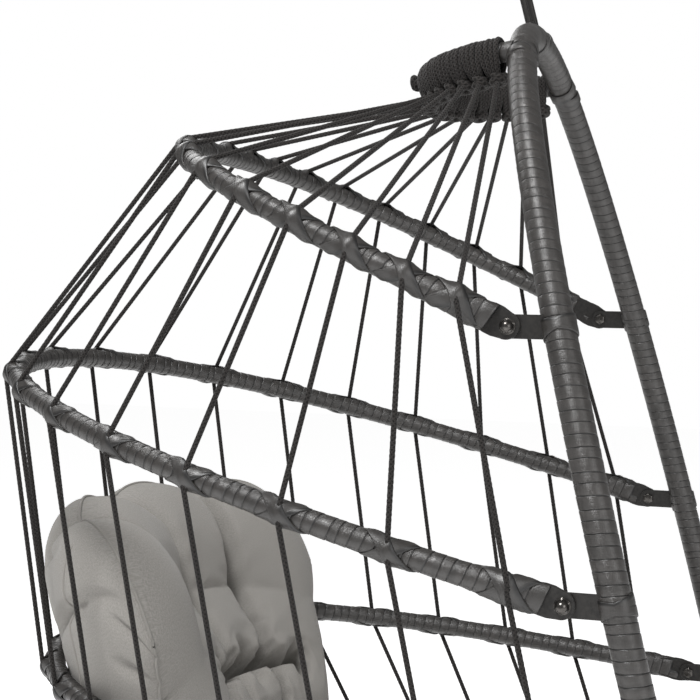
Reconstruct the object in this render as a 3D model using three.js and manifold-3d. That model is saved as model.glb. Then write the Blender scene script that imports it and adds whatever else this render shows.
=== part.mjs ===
// Hanging egg chair basket: a wrapped tube front ring, a small crown hoop and five hinged U-hoops behind
// it, nineteen rope strands from the crown hoop over every hoop, a seat cushion and a back cushion.
// Millimetres, +Z up. The front opening faces -Y, the chair is symmetric in X, and the origin is the
// point that hangs on a hook: the inside top of the steel hanging loop.
import * as THREE from 'three';
import { mergeVertices } from 'three/addons/utils/BufferGeometryUtils.js';
import Module from 'manifold-3d';

const wasm = await Module();
wasm.setup();

// ---- driving dimensions -------------------------------------------------------------------------------
// Heights below are counted from the uppermost pair of hinges; the whole chair is lowered at the end.
const GAP = 0.3;                 // clearance between neighbouring solids

const RING = {                   // front ring centreline, an egg standing on its blunt end
  halfWidth: 419, widestZ: -330, apexZ: 350, bottomZ: -800,
  upperX: 2.3, upperZ: 1.65, lower: 2.5,   // superellipse exponents above and below the widest height
  tubeR: 17, setForward: 51.4, lean: 0.265,  // lean: how far the plane moves back for each unit of height
};
const HOOP_R = 13;               // wrapped hoop tube
const CROWN = { halfWidth: 155, depth: 142, rise: 8, drop: -0.13, exponent: 2.05, bulge: 0, tubeR: 12 };
const LASHING = { r: 19, bore: 14.2, from: 0.052, to: 0.948, hang: 4 };  // rope hitches on the crown hoop
// Hinged hoops from the top down. z: hinge height, tilt: rise of the arm above level in radians,
// exponent and bulge: how square and how swollen the U is. leftPitch and rightPitch place the ropes on
// each side, as shares of the hoop's length: the first step from the middle, and how much it grows.
const EVEN_PITCH = [0.0515, 0];
const HOOPS = [
  { z: 0, halfWidth: 367, depth: 500, tilt: 0.436, exponent: 2.2, bulge: 0.364,
    leftPitch: [0.0655, -0.0016], rightPitch: [0.0502, 0] },
  { z: -269, halfWidth: 426, depth: 801, tilt: 0.2565, exponent: 2.07, bulge: 0.222,
    leftPitch: [0.0445, 0.0009], rightPitch: [0.0525, 0] },
  { z: -523, halfWidth: 405, depth: 793, tilt: 0.104, exponent: 2.12, bulge: 0.211,
    leftPitch: [0.043, 0.001] },
  { z: -690, halfWidth: 320, depth: 620, tilt: -0.045, exponent: 2.15, bulge: 0.2 },
  { z: -768, halfWidth: 205, depth: 345, tilt: -0.14, exponent: 2.2, bulge: 0.15 },
].map((hoop) => ({ leftPitch: EVEN_PITCH, rightPitch: EVEN_PITCH, ...hoop }));

const PLATE = { thick: 5, halfHeight: 16, back: 15, front: 40, tubeFrom: 26 };   // flattened hoop end
const TAB = { thick: 5, halfHeight: 12.5 };                                      // steel tab on the ring
const BOLT = { r: 4, clear: 0.3, headAcross: 13, headThick: 5, intoNut: 6 };
const NUT = { across: 14, hexThick: 5, domeR: 6.2, bore: 7.5 };

const ROPE = { count: 19, r: 3, lift: 1.4 };         // lift: slack between a rope and the hoop under it
const CROWN_SPREAD = 0.88;                           // share of the crown hoop that the ropes take up

const LOOP = { rodR: 4, halfSpan: 29, legLength: 92 };

// from and to are shares of a hoop's length, top and bottom are levels between hoops (2 is the second hoop).
// reach: half the pad's share of the hoops' length at each level. stand is the room left for the hoops,
// and sag is how far the pad swells out between two hoops.
const BACK_PAD = { reach: [[2.35, 0.215], [3, 0.205], [3.25, 0.188], [3.5, 0.168], [3.78, 0.145]], top: 2.5,
  wingRise: 0.1, corner: 0.34, bottom: 3.78, stand: 17, thick: 145, sag: 14 };
const SEAT_PAD = { centreY: 50, semiX: 265, semiY: 265, bottomZ: -768, thick: 112 };

const COLOUR = { wrap: '#4b4946', steel: '#3a3938', zinc: '#8d8c88', rope: '#34312f', fabric: '#8f8d8b' };

// ---- materials ----------------------------------------------------------------------------------------
const finish = (color, roughness, metalness = 0) =>
  new THREE.MeshStandardMaterial({ color, roughness, metalness });
const wrapFinish = () => finish(COLOUR.wrap, 0.45);
const steelFinish = () => finish(COLOUR.steel, 0.4, 0.7);
const zincFinish = () => finish(COLOUR.zinc, 0.3, 0.9);
const ropeFinish = () => finish(COLOUR.rope, 0.85);
const fabricFinish = () => finish(COLOUR.fabric, 0.95);

// ---- small geometry helpers ---------------------------------------------------------------------------
const V = (x, y, z) => new THREE.Vector3(x, y, z);
const signedPower = (value, power) => Math.sign(value) * Math.abs(value) ** power;

function toSolid(geometry) {
  const plain = geometry.clone();
  plain.deleteAttribute('normal');
  plain.deleteAttribute('uv');
  const merged = mergeVertices(plain, 1e-4);
  return new wasm.Manifold(new wasm.Mesh({
    numProp: 3,
    vertProperties: new Float32Array(merged.attributes.position.array),
    triVerts: new Uint32Array(merged.index.array),
  }));
}

function toGeometry(solid) {
  const mesh = solid.getMesh();
  const geometry = new THREE.BufferGeometry();
  geometry.setAttribute('position', new THREE.BufferAttribute(mesh.vertProperties, 3));
  geometry.setIndex(new THREE.BufferAttribute(mesh.triVerts, 1));
  geometry.computeVertexNormals();
  return geometry;
}

// A curve through given points, sampled exactly at those points.
class PointPath extends THREE.Curve {
  constructor(points) {
    super();
    this.points = points;
  }

  getPoint(t) {
    const place = t * (this.points.length - 1);
    const i = Math.min(Math.floor(place + 1e-9), this.points.length - 2);
    return this.points[i].clone().lerp(this.points[i + 1], place - i);
  }

  getPointAt(t) { return this.getPoint(t); }

  getTangentAt(t) {
    const h = 0.5 / (this.points.length - 1);
    return this.getPoint(Math.min(1, t + h)).sub(this.getPoint(Math.max(0, t - h))).normalize();
  }

  getSpacedPoints(divisions) {
    return Array.from({ length: divisions + 1 }, (_, i) => this.getPoint(i / divisions));
  }
}

// Round bar of radius r along a path.
function bar(path, r, sides, steps) {
  const circle = new THREE.Shape();
  for (let i = 0; i < sides; i += 1) {
    const a = ((i + 0.5) / sides) * 2 * Math.PI;
    if (i === 0) circle.moveTo(r * Math.cos(a), r * Math.sin(a));
    else circle.lineTo(r * Math.cos(a), r * Math.sin(a));
  }
  circle.closePath();
  return new THREE.ExtrudeGeometry(circle, { extrudePath: path, steps, bevelEnabled: false });
}

// Closed ring-shaped bar: the ends of an ordinary bar would leave a seam, so its faces are laid by hand.
function closedBar(path, r, sides, steps) {
  const across = V(0, 1, -RING.lean).normalize();
  const positions = [];
  const index = [];
  for (let i = 0; i < steps; i += 1) {
    const centre = path.getPointAt(i / steps);
    const outward = path.getTangentAt(i / steps).cross(across).normalize();
    for (let j = 0; j < sides; j += 1) {
      const a = (j / sides) * 2 * Math.PI;
      const spoke = outward.clone().multiplyScalar(r * Math.cos(a)).addScaledVector(across, r * Math.sin(a));
      positions.push(...centre.clone().add(spoke).toArray());
      const next = (j + 1) % sides;
      const here = i * sides;
      const there = ((i + 1) % steps) * sides;
      index.push(here + j, there + next, here + next, here + j, there + j, there + next);
    }
  }
  const geometry = new THREE.BufferGeometry();
  geometry.setAttribute('position', new THREE.Float32BufferAttribute(positions, 3));
  geometry.setIndex(index);
  return geometry;
}

// Flat plate lying across X, drawn in (along, up), with its round end at the origin.
function flatLink(halfHeight, back, front, thick, holeR, squareCorner) {
  const outline = new THREE.Shape();
  outline.moveTo(front, -halfHeight);
  outline.lineTo(front, halfHeight);
  if (squareCorner) outline.lineTo(0, halfHeight);
  outline.absellipse(0, 0, back, halfHeight, Math.PI / 2, 1.5 * Math.PI, false);
  outline.closePath();
  const hole = new THREE.Path();
  hole.absarc(0, 0, holeR, 0, 2 * Math.PI, true);
  outline.holes.push(hole);
  const plate = new THREE.ExtrudeGeometry(outline, { depth: thick, bevelEnabled: false, curveSegments: 6 });
  return plate.translate(0, 0, -thick / 2);
}

// Turns a shape drawn in (along, up, across) so that along is +Y, up is +Z and across is +X.
const turnAcross = new THREE.Matrix4().makeBasis(V(0, 1, 0), V(0, 0, 1), V(1, 0, 0));

// ---- front ring ---------------------------------------------------------------------------------------
const onPlane = (x, z) => V(x, RING.lean * z - RING.setForward, z);

function ringPoint(turn) {
  const a = turn * 2 * Math.PI;
  const upper = Math.sin(a) >= 0;
  const reach = upper ? RING.apexZ - RING.widestZ : RING.widestZ - RING.bottomZ;
  const x = RING.halfWidth * signedPower(Math.cos(a), 2 / (upper ? RING.upperX : RING.lower));
  return onPlane(x, RING.widestZ + reach * signedPower(Math.sin(a), 2 / (upper ? RING.upperZ : RING.lower)));
}

function ringHeight(x) {
  return RING.widestZ + (RING.apexZ - RING.widestZ)
    * (1 - (Math.abs(x) / RING.halfWidth) ** RING.upperX) ** (1 / RING.upperZ);
}

const ringPath = new THREE.CatmullRomCurve3(
  Array.from({ length: 96 }, (_, i) => ringPoint(i / 96)), true, 'centripetal');
ringPath.arcLengthDivisions = 1200;

const ringBar = (extra = 0) => closedBar(ringPath, RING.tubeR + extra, 10, 64);
const ringClearance = toSolid(ringBar(GAP));

// ---- U-hoops ------------------------------------------------------------------------------------------
const hinge = (hoop) => V(0, RING.lean * hoop.z, hoop.z);

// Point of a U-hoop for an angle from 0 (left end, -X) to pi (right end, +X).
function uPoint(start, halfWidth, depth, rise, exponent, bulge, angle) {
  const e = 2 / exponent;
  const x = -halfWidth * signedPower(Math.cos(angle), e) * (1 + bulge * Math.sin(angle));
  const s = depth * Math.abs(Math.sin(angle)) ** e;
  return V(x, start.y + s * Math.cos(rise), start.z + s * Math.sin(rise));
}

const hoopPoint = (hoop, angle) =>
  uPoint(hinge(hoop), hoop.halfWidth, hoop.depth, hoop.tilt, hoop.exponent, hoop.bulge, angle);
const crownStart = onPlane(0, ringHeight(CROWN.halfWidth)).add(V(0, 0, CROWN.rise));
const crownPoint = (angle) =>
  uPoint(crownStart, CROWN.halfWidth, CROWN.depth, CROWN.drop, CROWN.exponent, CROWN.bulge, angle);

function pathOf(pointAt, firstAngle) {
  const count = 60;
  const angles = Array.from({ length: count + 1 }, (_, i) =>
    firstAngle + ((Math.PI - 2 * firstAngle) * i) / count);
  const path = new THREE.CatmullRomCurve3(angles.map(pointAt), false, 'centripetal');
  path.arcLengthDivisions = 800;
  return path;
}

const hoopPaths = HOOPS.map((hoop) => pathOf((a) => hoopPoint(hoop, a), 0));
const crownPath = pathOf(crownPoint, 0);

// Angle at which the arm has run a given distance back from its hinge.
const angleAtDepth = (hoop, distance) => Math.asin((distance / hoop.depth) ** (hoop.exponent / 2));

function hoopSolid(hoop) {
  const tube = pathOf((a) => hoopPoint(hoop, a), angleAtDepth(hoop, PLATE.tubeFrom));
  let solid = toSolid(bar(tube, HOOP_R, 8, 30));
  for (const side of [-1, 1]) {
    const plate = flatLink(PLATE.halfHeight, PLATE.back, PLATE.front, PLATE.thick, BOLT.r + BOLT.clear, true);
    plate.applyMatrix4(turnAcross);
    plate.rotateX(hoop.tilt);
    const start = hinge(hoop);
    plate.translate(side * hoop.halfWidth, start.y, start.z);
    solid = solid.add(toSolid(plate));
  }
  return toGeometry(solid);
}

// ---- hinges -------------------------------------------------------------------------------------------
// The tab stands on the inner side of the flattened hoop end; the bolt goes through both from inside.
const tabX = (hoop) => hoop.halfWidth - (PLATE.thick + TAB.thick) / 2 - GAP;

function tabSolid(hoop, side) {
  const tab = flatLink(TAB.halfHeight, TAB.halfHeight, RING.setForward, TAB.thick, BOLT.r + BOLT.clear, false);
  tab.rotateZ(Math.PI);
  tab.applyMatrix4(turnAcross);
  const start = hinge(hoop);
  tab.translate(side * tabX(hoop), start.y, start.z);
  const pieces = toSolid(tab).subtract(ringClearance).decompose();
  pieces.sort((a, b) => b.volume() - a.volume());
  return toGeometry(pieces[0]);
}

function hexagon(across, holeR = 0) {
  const outline = new THREE.Shape();
  for (let i = 0; i < 6; i += 1) {
    const a = (i / 6) * 2 * Math.PI;
    const r = across / Math.sqrt(3);
    if (i === 0) outline.moveTo(r * Math.cos(a), r * Math.sin(a));
    else outline.lineTo(r * Math.cos(a), r * Math.sin(a));
  }
  outline.closePath();
  if (holeR > 0) {
    const hole = new THREE.Path();
    hole.absarc(0, 0, holeR, 0, 2 * Math.PI, true);
    outline.holes.push(hole);
  }
  return outline;
}

const prism = (outline, depth) =>
  new THREE.ExtrudeGeometry(outline, { depth, bevelEnabled: false, curveSegments: 6 });

// Both are drawn along +Z with the outer face of the flattened end at 0, then turned to point outwards.
function boltGeometry() {
  const grip = PLATE.thick + TAB.thick + 2 * GAP;
  const head = prism(hexagon(BOLT.headAcross), BOLT.headThick).translate(0, 0, -grip - BOLT.headThick - GAP);
  const length = grip + GAP + 1 + BOLT.intoNut;
  const shank = new THREE.CylinderGeometry(BOLT.r, BOLT.r, length, 8).rotateX(Math.PI / 2);
  shank.translate(0, 0, BOLT.intoNut - length / 2);
  return toGeometry(toSolid(head).add(toSolid(shank)));
}

function nutGeometry() {
  const boreR = BOLT.r + BOLT.clear;
  const profile = [[0, 0], [NUT.domeR, 0]];
  for (let i = 0; i <= 3; i += 1) {
    const a = (i / 3) * (Math.PI / 2);
    profile.push([NUT.domeR * Math.cos(a), NUT.hexThick + NUT.domeR * Math.sin(a)]);
  }
  profile[profile.length - 1][0] = 0;
  const dome = new THREE.LatheGeometry(profile.map(([r, h]) => new THREE.Vector2(r, h)), 8);
  dome.rotateX(Math.PI / 2);
  const bore = new THREE.CylinderGeometry(boreR, boreR, NUT.bore + 1, 8).rotateX(Math.PI / 2);
  bore.translate(0, 0, (NUT.bore - 1) / 2);
  const solid = toSolid(prism(hexagon(NUT.across), NUT.hexThick)).add(toSolid(dome)).subtract(toSolid(bore));
  return toGeometry(solid.translate([0, 0, GAP]));
}

function faceOutwards(geometry, hoop, side) {
  geometry.rotateY((side * Math.PI) / 2);
  const start = hinge(hoop);
  return geometry.translate(side * (hoop.halfWidth + PLATE.thick / 2), start.y, start.z);
}

// ---- crown hoop and hanging loop ----------------------------------------------------------------------
function crownSolid() {
  return toGeometry(toSolid(bar(crownPath, CROWN.tubeR, 8, 18)).subtract(ringClearance)
    .decompose().sort((a, b) => b.volume() - a.volume())[0]);
}

// Sleeve that the rope hitches make round the crown hoop.
function lashingGeometry() {
  const steps = 20;
  const points = Array.from({ length: steps + 1 }, (_, i) =>
    crownPath.getPointAt(LASHING.from + ((LASHING.to - LASHING.from) * i) / steps));
  const section = new THREE.Shape();
  section.absarc(0, 0, LASHING.r, 0, 2 * Math.PI, false);
  const hole = new THREE.Path();
  hole.absarc(0, 0, LASHING.bore, 0, 2 * Math.PI, true);
  section.holes.push(hole);
  const extrudePath = new PointPath(points);
  return new THREE.ExtrudeGeometry(section, { extrudePath, steps, bevelEnabled: false, curveSegments: 5 });
}

const ringUp = V(0, RING.lean, 1).normalize();
const apex = onPlane(0, RING.apexZ);
const loopTop = apex.clone().addScaledVector(ringUp, LOOP.legLength + LOOP.halfSpan);
const hangPoint = loopTop.clone().addScaledVector(ringUp, -LOOP.rodR);

function loopSolid() {
  const points = [];
  const corner = apex.clone().addScaledVector(ringUp, LOOP.legLength);
  for (let i = 0; i <= 4; i += 1) {
    points.push(apex.clone().addScaledVector(ringUp, (LOOP.legLength * i) / 5).add(V(-LOOP.halfSpan, 0, 0)));
  }
  for (let i = 0; i <= 12; i += 1) {
    const a = Math.PI - (i / 12) * Math.PI;
    points.push(corner.clone().addScaledVector(ringUp, LOOP.halfSpan * Math.sin(a))
      .add(V(LOOP.halfSpan * Math.cos(a), 0, 0)));
  }
  for (let i = 4; i >= 0; i -= 1) {
    points.push(apex.clone().addScaledVector(ringUp, (LOOP.legLength * i) / 5).add(V(LOOP.halfSpan, 0, 0)));
  }
  const rod = bar(new PointPath(points), LOOP.rodR, 8, points.length - 1);
  return toGeometry(toSolid(rod).subtract(ringClearance).decompose().sort((a, b) => b.volume() - a.volume())[0]);
}

// ---- ropes --------------------------------------------------------------------------------------------
// Strands are numbered from the middle, negative to the left. Each is tied under the crown hoop, goes
// over the outside of the hoops in straight spans and ends on the lowest hoop.
function strandShare(hoop, strand) {
  const [step, growth] = strand < 0 ? hoop.leftPitch : hoop.rightPitch;
  return 0.5 + step * strand + growth * strand * Math.abs(strand);
}

function hoopCrossings(strand) {
  return HOOPS.map((hoop, i) => {
    const share = strandShare(hoop, strand);
    return { point: hoopPaths[i].getPointAt(share), along: hoopPaths[i].getTangentAt(share) };
  });
}

// Direction square to both the hoop and the span, pointing out of the basket.
const outOf = (along, span) => along.clone().cross(span).normalize();

// Where a strand leaves the underside of the lashing on the crown hoop.
function crownExit(strand) {
  const share = 0.5 + (strand / (ROPE.count - 1)) * CROWN_SPREAD;
  return crownPath.getPointAt(share).add(V(0, 0, -(LASHING.r + ROPE.r + LASHING.hang)));
}

function ropePoints(strand) {
  const crossings = hoopCrossings(strand);
  const stops = [crownExit(strand), ...crossings.map((crossing) => crossing.point)];
  const spans = crossings.map((crossing, i) => crossing.point.clone().sub(stops[i]).normalize());
  const lift = HOOP_R + ROPE.r + ROPE.lift;
  const points = [stops[0]];
  crossings.forEach((crossing, i) => {
    const normals = [spans[i], spans[i + 1]].filter(Boolean).map((span) => outOf(crossing.along, span));
    if (normals.length === 2) normals.splice(1, 0, normals[0].clone().add(normals[1]).normalize());
    normals.forEach((normal) => points.push(crossing.point.clone().addScaledVector(normal, lift)));
  });
  return points;
}

const ropeSolid = (strand) => {
  const points = ropePoints(strand);
  return bar(new PointPath(points), ROPE.r, 6, points.length - 1);
};

// ---- cushions -----------------------------------------------------------------------------------------
// Basket surface: share is the place along the hoops, level runs from 1 (top hoop) to 5 (lowest hoop).
// Between two hoops it is straight, as the ropes are.
function basketPoint(share, level) {
  const above = Math.min(Math.floor(level), HOOPS.length - 1);
  const lower = hoopPaths[above].getPointAt(share);
  return hoopPaths[above - 1].getPointAt(share).lerp(lower, level - above);
}

// Direction into the basket, evened out over the bends at the hoops.
function basketInward(share, level) {
  const across = basketPoint(share + 0.01, level).sub(basketPoint(share - 0.01, level));
  const down = basketPoint(share, level + 0.4).sub(basketPoint(share, level - 0.4));
  return down.cross(across).normalize();
}

// A closed pad from a front and a back face on one grid, joined round the edge.
function padGeometry(columns, rows, facePoint) {
  const positions = [];
  const index = [];
  const at = (face, i, j) => face * (columns + 1) * (rows + 1) + i * (rows + 1) + j;
  for (const face of [0, 1]) {
    for (let i = 0; i <= columns; i += 1) {
      for (let j = 0; j <= rows; j += 1) positions.push(...facePoint(face, i / columns, j / rows).toArray());
    }
  }
  const quad = (a, b, c, d) => index.push(a, b, c, a, c, d);
  for (let i = 0; i < columns; i += 1) {
    for (let j = 0; j < rows; j += 1) {
      quad(at(0, i, j), at(0, i, j + 1), at(0, i + 1, j + 1), at(0, i + 1, j));
      quad(at(1, i, j), at(1, i + 1, j), at(1, i + 1, j + 1), at(1, i, j + 1));
    }
    quad(at(0, i, 0), at(0, i + 1, 0), at(1, i + 1, 0), at(1, i, 0));
    quad(at(0, i, rows), at(1, i, rows), at(1, i + 1, rows), at(0, i + 1, rows));
  }
  for (let j = 0; j < rows; j += 1) {
    quad(at(0, 0, j), at(1, 0, j), at(1, 0, j + 1), at(0, 0, j + 1));
    quad(at(0, columns, j), at(0, columns, j + 1), at(1, columns, j + 1), at(1, columns, j));
  }
  const geometry = new THREE.BufferGeometry();
  geometry.setAttribute('position', new THREE.Float32BufferAttribute(positions, 3));
  geometry.setIndex(index);
  return geometry;
}

function padReach(level) {
  const stops = BACK_PAD.reach;
  const next = Math.min(Math.max(stops.findIndex((stop) => stop[0] >= level), 1), stops.length - 1);
  const [[low, from], [high, to]] = [stops[next - 1], stops[next]];
  return from + (to - from) * Math.min(Math.max((level - low) / (high - low), 0), 1);
}

// Fullness of a pad: 1 in the middle, falling off in a rounded shoulder to the edge.
const shoulder = (share) => (1 - Math.abs(2 * share - 1) ** 5) ** 0.5;
const EDGE_FULLNESS = 0.3;

function backCushion() {
  const pad = BACK_PAD;
  return padGeometry(16, 8, (face, i, j) => {
    const top = pad.top - pad.wingRise * Math.abs(2 * i - 1) ** 2 + pad.corner * Math.abs(2 * i - 1) ** 9;
    const level = top + (pad.bottom - top) * j;
    const share = 0.5 + (2 * i - 1) * padReach(level);
    const full = EDGE_FULLNESS + (1 - EDGE_FULLNESS) * shoulder(i) * shoulder(j);
    const middle = pad.stand + pad.thick / 2;
    const swell = face === 1 ? pad.sag * full * Math.sin(Math.PI * level) ** 2 : 0;
    const offset = middle + (face === 0 ? 1 : -1) * (pad.thick / 2) * full - swell;
    return basketPoint(share, level).addScaledVector(basketInward(share, level), offset);
  });
}

// Half section of the seat pad, as shares of its reach and its thickness: narrow below, where the
// basket closes in, and full above.
const SEAT_SECTION = [[0, 0], [0.48, 0.02], [0.72, 0.14], [0.88, 0.34], [0.97, 0.58], [0.97, 0.8],
  [0.86, 0.94], [0.5, 1], [0, 1]];

function seatCushion() {
  const pad = SEAT_PAD;
  const profile = SEAT_SECTION.map(([reach, height]) => new THREE.Vector2(reach, height * pad.thick));
  const pillow = new THREE.LatheGeometry(profile, 24).rotateX(Math.PI / 2);
  pillow.scale(pad.semiX, pad.semiY, 1);
  return pillow.translate(0, pad.centreY, pad.bottomZ);
}

// ---- assembly -----------------------------------------------------------------------------------------
const chair = new THREE.Group();
chair.position.copy(hangPoint).negate();

function add(name, geometry, material) {
  const mesh = new THREE.Mesh(geometry, material);
  mesh.name = name;
  chair.add(mesh);
}

add('front_ring', ringBar(), wrapFinish());
add('hanging_loop', loopSolid(), steelFinish());
add('crown_hoop', crownSolid(), wrapFinish());
add('crown_lashing', lashingGeometry(), ropeFinish());
HOOPS.forEach((hoop, i) => {
  const number = i + 1;
  add(`hoop_${number}`, hoopSolid(hoop), wrapFinish());
  for (const [name, side] of [['left', -1], ['right', 1]]) {
    add(`hinge_tab_${number}_${name}`, tabSolid(hoop, side), steelFinish());
    add(`hinge_bolt_${number}_${name}`, faceOutwards(boltGeometry(), hoop, side), zincFinish());
    add(`cap_nut_${number}_${name}`, faceOutwards(nutGeometry(), hoop, side), zincFinish());
  }
});
for (let i = 0; i < ROPE.count; i += 1) {
  const strand = i - (ROPE.count - 1) / 2;
  add(`rope_${String(i + 1).padStart(2, '0')}`, ropeSolid(strand), ropeFinish());
}
add('back_cushion', backCushion(), fabricFinish());
add('seat_cushion', seatCushion(), fabricFinish());

export default chair;
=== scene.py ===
"""Hanging egg chair basket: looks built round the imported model.

The basket hangs by a steel loop. A leaning egg-shaped front ring carries a small crown hoop and five
U-shaped hoops that swing up on bolts. Rope strands run from hitches on the crown hoop over every hoop,
and a lobed back pad and a tufted seat pad lie inside. All lengths are in metres.
"""

from __future__ import annotations

import logging
import math
from collections.abc import Callable, Sequence
from dataclasses import dataclass, field
from enum import Enum

import bpy
import numpy as np
from mathutils import Matrix, Vector

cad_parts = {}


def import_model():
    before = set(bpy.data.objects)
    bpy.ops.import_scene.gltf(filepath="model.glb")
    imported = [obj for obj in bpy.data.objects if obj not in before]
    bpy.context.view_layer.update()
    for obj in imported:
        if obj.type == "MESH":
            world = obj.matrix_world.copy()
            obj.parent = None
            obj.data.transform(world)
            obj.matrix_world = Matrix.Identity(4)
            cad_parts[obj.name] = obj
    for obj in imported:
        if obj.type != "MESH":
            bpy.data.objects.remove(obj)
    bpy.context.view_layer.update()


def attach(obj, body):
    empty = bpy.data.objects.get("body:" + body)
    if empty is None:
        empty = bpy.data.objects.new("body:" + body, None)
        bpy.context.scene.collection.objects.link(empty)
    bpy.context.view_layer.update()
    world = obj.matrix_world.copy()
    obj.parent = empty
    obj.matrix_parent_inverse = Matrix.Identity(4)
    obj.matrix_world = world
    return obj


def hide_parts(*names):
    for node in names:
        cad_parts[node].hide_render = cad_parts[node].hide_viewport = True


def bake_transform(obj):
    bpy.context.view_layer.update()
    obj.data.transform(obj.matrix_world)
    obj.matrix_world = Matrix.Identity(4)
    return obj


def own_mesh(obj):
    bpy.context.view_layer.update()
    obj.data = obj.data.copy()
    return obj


LOG = logging.getLogger("egg_chair")
Array = np.ndarray
TURN = 2.0 * math.pi
LEAN = 0.265          # how far the front ring moves back for each unit of height
HANG = np.array([0.0, 0.0713205, 0.4630963])   # hanging point, counted from the uppermost hinges
CROWN_HALF = 0.155    # half width of the crown hoop, and where its ends meet the ring
BRAID_RELIEF = 0.032  # share of the radius by which the lays of a braid stand up and down


class Slot(Enum):
    """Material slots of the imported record."""

    WRAP = "wrap"
    STEEL = "steel"
    FIXINGS = "fixings"
    ROPE = "rope"
    FABRIC = "fabric"


# ---- small numeric helpers ------------------------------------------------------------------------------
def unit(vectors: Array) -> Array:
    """Vectors divided by their own lengths."""
    return vectors / np.maximum(np.linalg.norm(vectors, axis=-1, keepdims=True), 1e-12)


def signed_power(values: Array, power: float) -> Array:
    """Absolute values raised to a power, with their signs kept."""
    return np.sign(values) * np.abs(values) ** power


def smooth(values: Array, low: float, high: float) -> Array:
    """Smooth step: 0 below low, 1 above high, 3t^2 - 2t^3 between them."""
    t = np.clip((values - low) / (high - low), 0.0, 1.0)
    return t * t * (3.0 - 2.0 * t)


def bump(values: Array, centre: float, width: float) -> Array:
    """Bell curve exp(-((x - centre) / width)^2)."""
    return np.exp(-(((values - centre) / width) ** 2))


# ---- centrelines ----------------------------------------------------------------------------------------
@dataclass
class Course:
    """A centreline kept as close points, with the distance run to each of them."""

    points: Array
    closed: bool = False
    run: Array = field(init=False)

    def __post_init__(self) -> None:
        """Closes the line if asked and adds up its length."""
        if self.closed:
            self.points = np.vstack([self.points, self.points[:1]])
        steps = np.linalg.norm(np.diff(self.points, axis=0), axis=1)
        self.run = np.concatenate([[0.0], np.cumsum(steps)])

    @property
    def length(self) -> float:
        """Whole length of the line."""
        return float(self.run[-1])

    def at(self, distance: Array) -> Array:
        """Points at the given distances along the line."""
        d = np.mod(distance, self.length) if self.closed else np.clip(distance, 0.0, self.length)
        return np.stack([np.interp(d, self.run, self.points[:, k]) for k in range(3)], axis=-1)

    def along(self, distance: Array, reach: float = 0.002) -> Array:
        """Unit directions of the line, from points a short reach before and after."""
        return unit(self.at(np.asarray(distance) + reach) - self.at(np.asarray(distance) - reach))


# ---- meshes ---------------------------------------------------------------------------------------------
@dataclass
class Skin:
    """Points with four-sided and three-sided faces, and a surface coordinate for every face corner."""

    points: Array
    quads: Array
    quad_uv: Array
    tris: Array = field(default_factory=lambda: np.zeros((0, 3), int))
    tri_uv: Array = field(default_factory=lambda: np.zeros((0, 3, 2)))

    @staticmethod
    def join(skins: Sequence["Skin"]) -> "Skin":
        """Lays several skins into one, renumbering their faces."""
        starts = np.cumsum([0] + [len(s.points) for s in skins[:-1]])
        return Skin(
            np.concatenate([s.points for s in skins]),
            np.concatenate([s.quads + n for s, n in zip(skins, starts)]),
            np.concatenate([s.quad_uv for s in skins]),
            np.concatenate([s.tris + n for s, n in zip(skins, starts)]),
            np.concatenate([s.tri_uv for s in skins]),
        )

    def build(self, name: str, material: bpy.types.Material, sharp: float | None = None) -> bpy.types.Object:
        """Makes a Blender object of the skin.

        Args:
            name: name of the piece.
            material: finish of the whole piece.
            sharp: angle in degrees past which an edge is shaded sharp, or None for smooth all over.

        Returns:
            The object, with its place in its mesh.
        """
        mesh = bpy.data.meshes.new(name)
        loops = np.concatenate([self.quads.ravel(), self.tris.ravel()]).astype(np.int32)
        sizes = np.concatenate([np.full(len(self.quads), 4), np.full(len(self.tris), 3)])
        mesh.vertices.add(len(self.points))
        mesh.vertices.foreach_set("co", self.points.astype(np.float32).ravel())
        mesh.loops.add(len(loops))
        mesh.loops.foreach_set("vertex_index", loops)
        mesh.polygons.add(len(sizes))
        starts = np.concatenate([[0], np.cumsum(sizes)[:-1]]).astype(np.int32)
        mesh.polygons.foreach_set("loop_start", starts)
        mesh.update(calc_edges=True)
        corners = np.concatenate([self.quad_uv.reshape(-1, 2), self.tri_uv.reshape(-1, 2)])
        layer = mesh.uv_layers.new(name="Surface")
        layer.data.foreach_set("uv", corners.astype(np.float32).ravel())
        mesh.validate()
        mesh.shade_smooth()
        if sharp is not None:
            mesh.set_sharp_from_angle(angle=math.radians(sharp))
        mesh.materials.append(material)
        obj = bpy.data.objects.new(name, mesh)
        bpy.context.scene.collection.objects.link(obj)
        return obj


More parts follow.
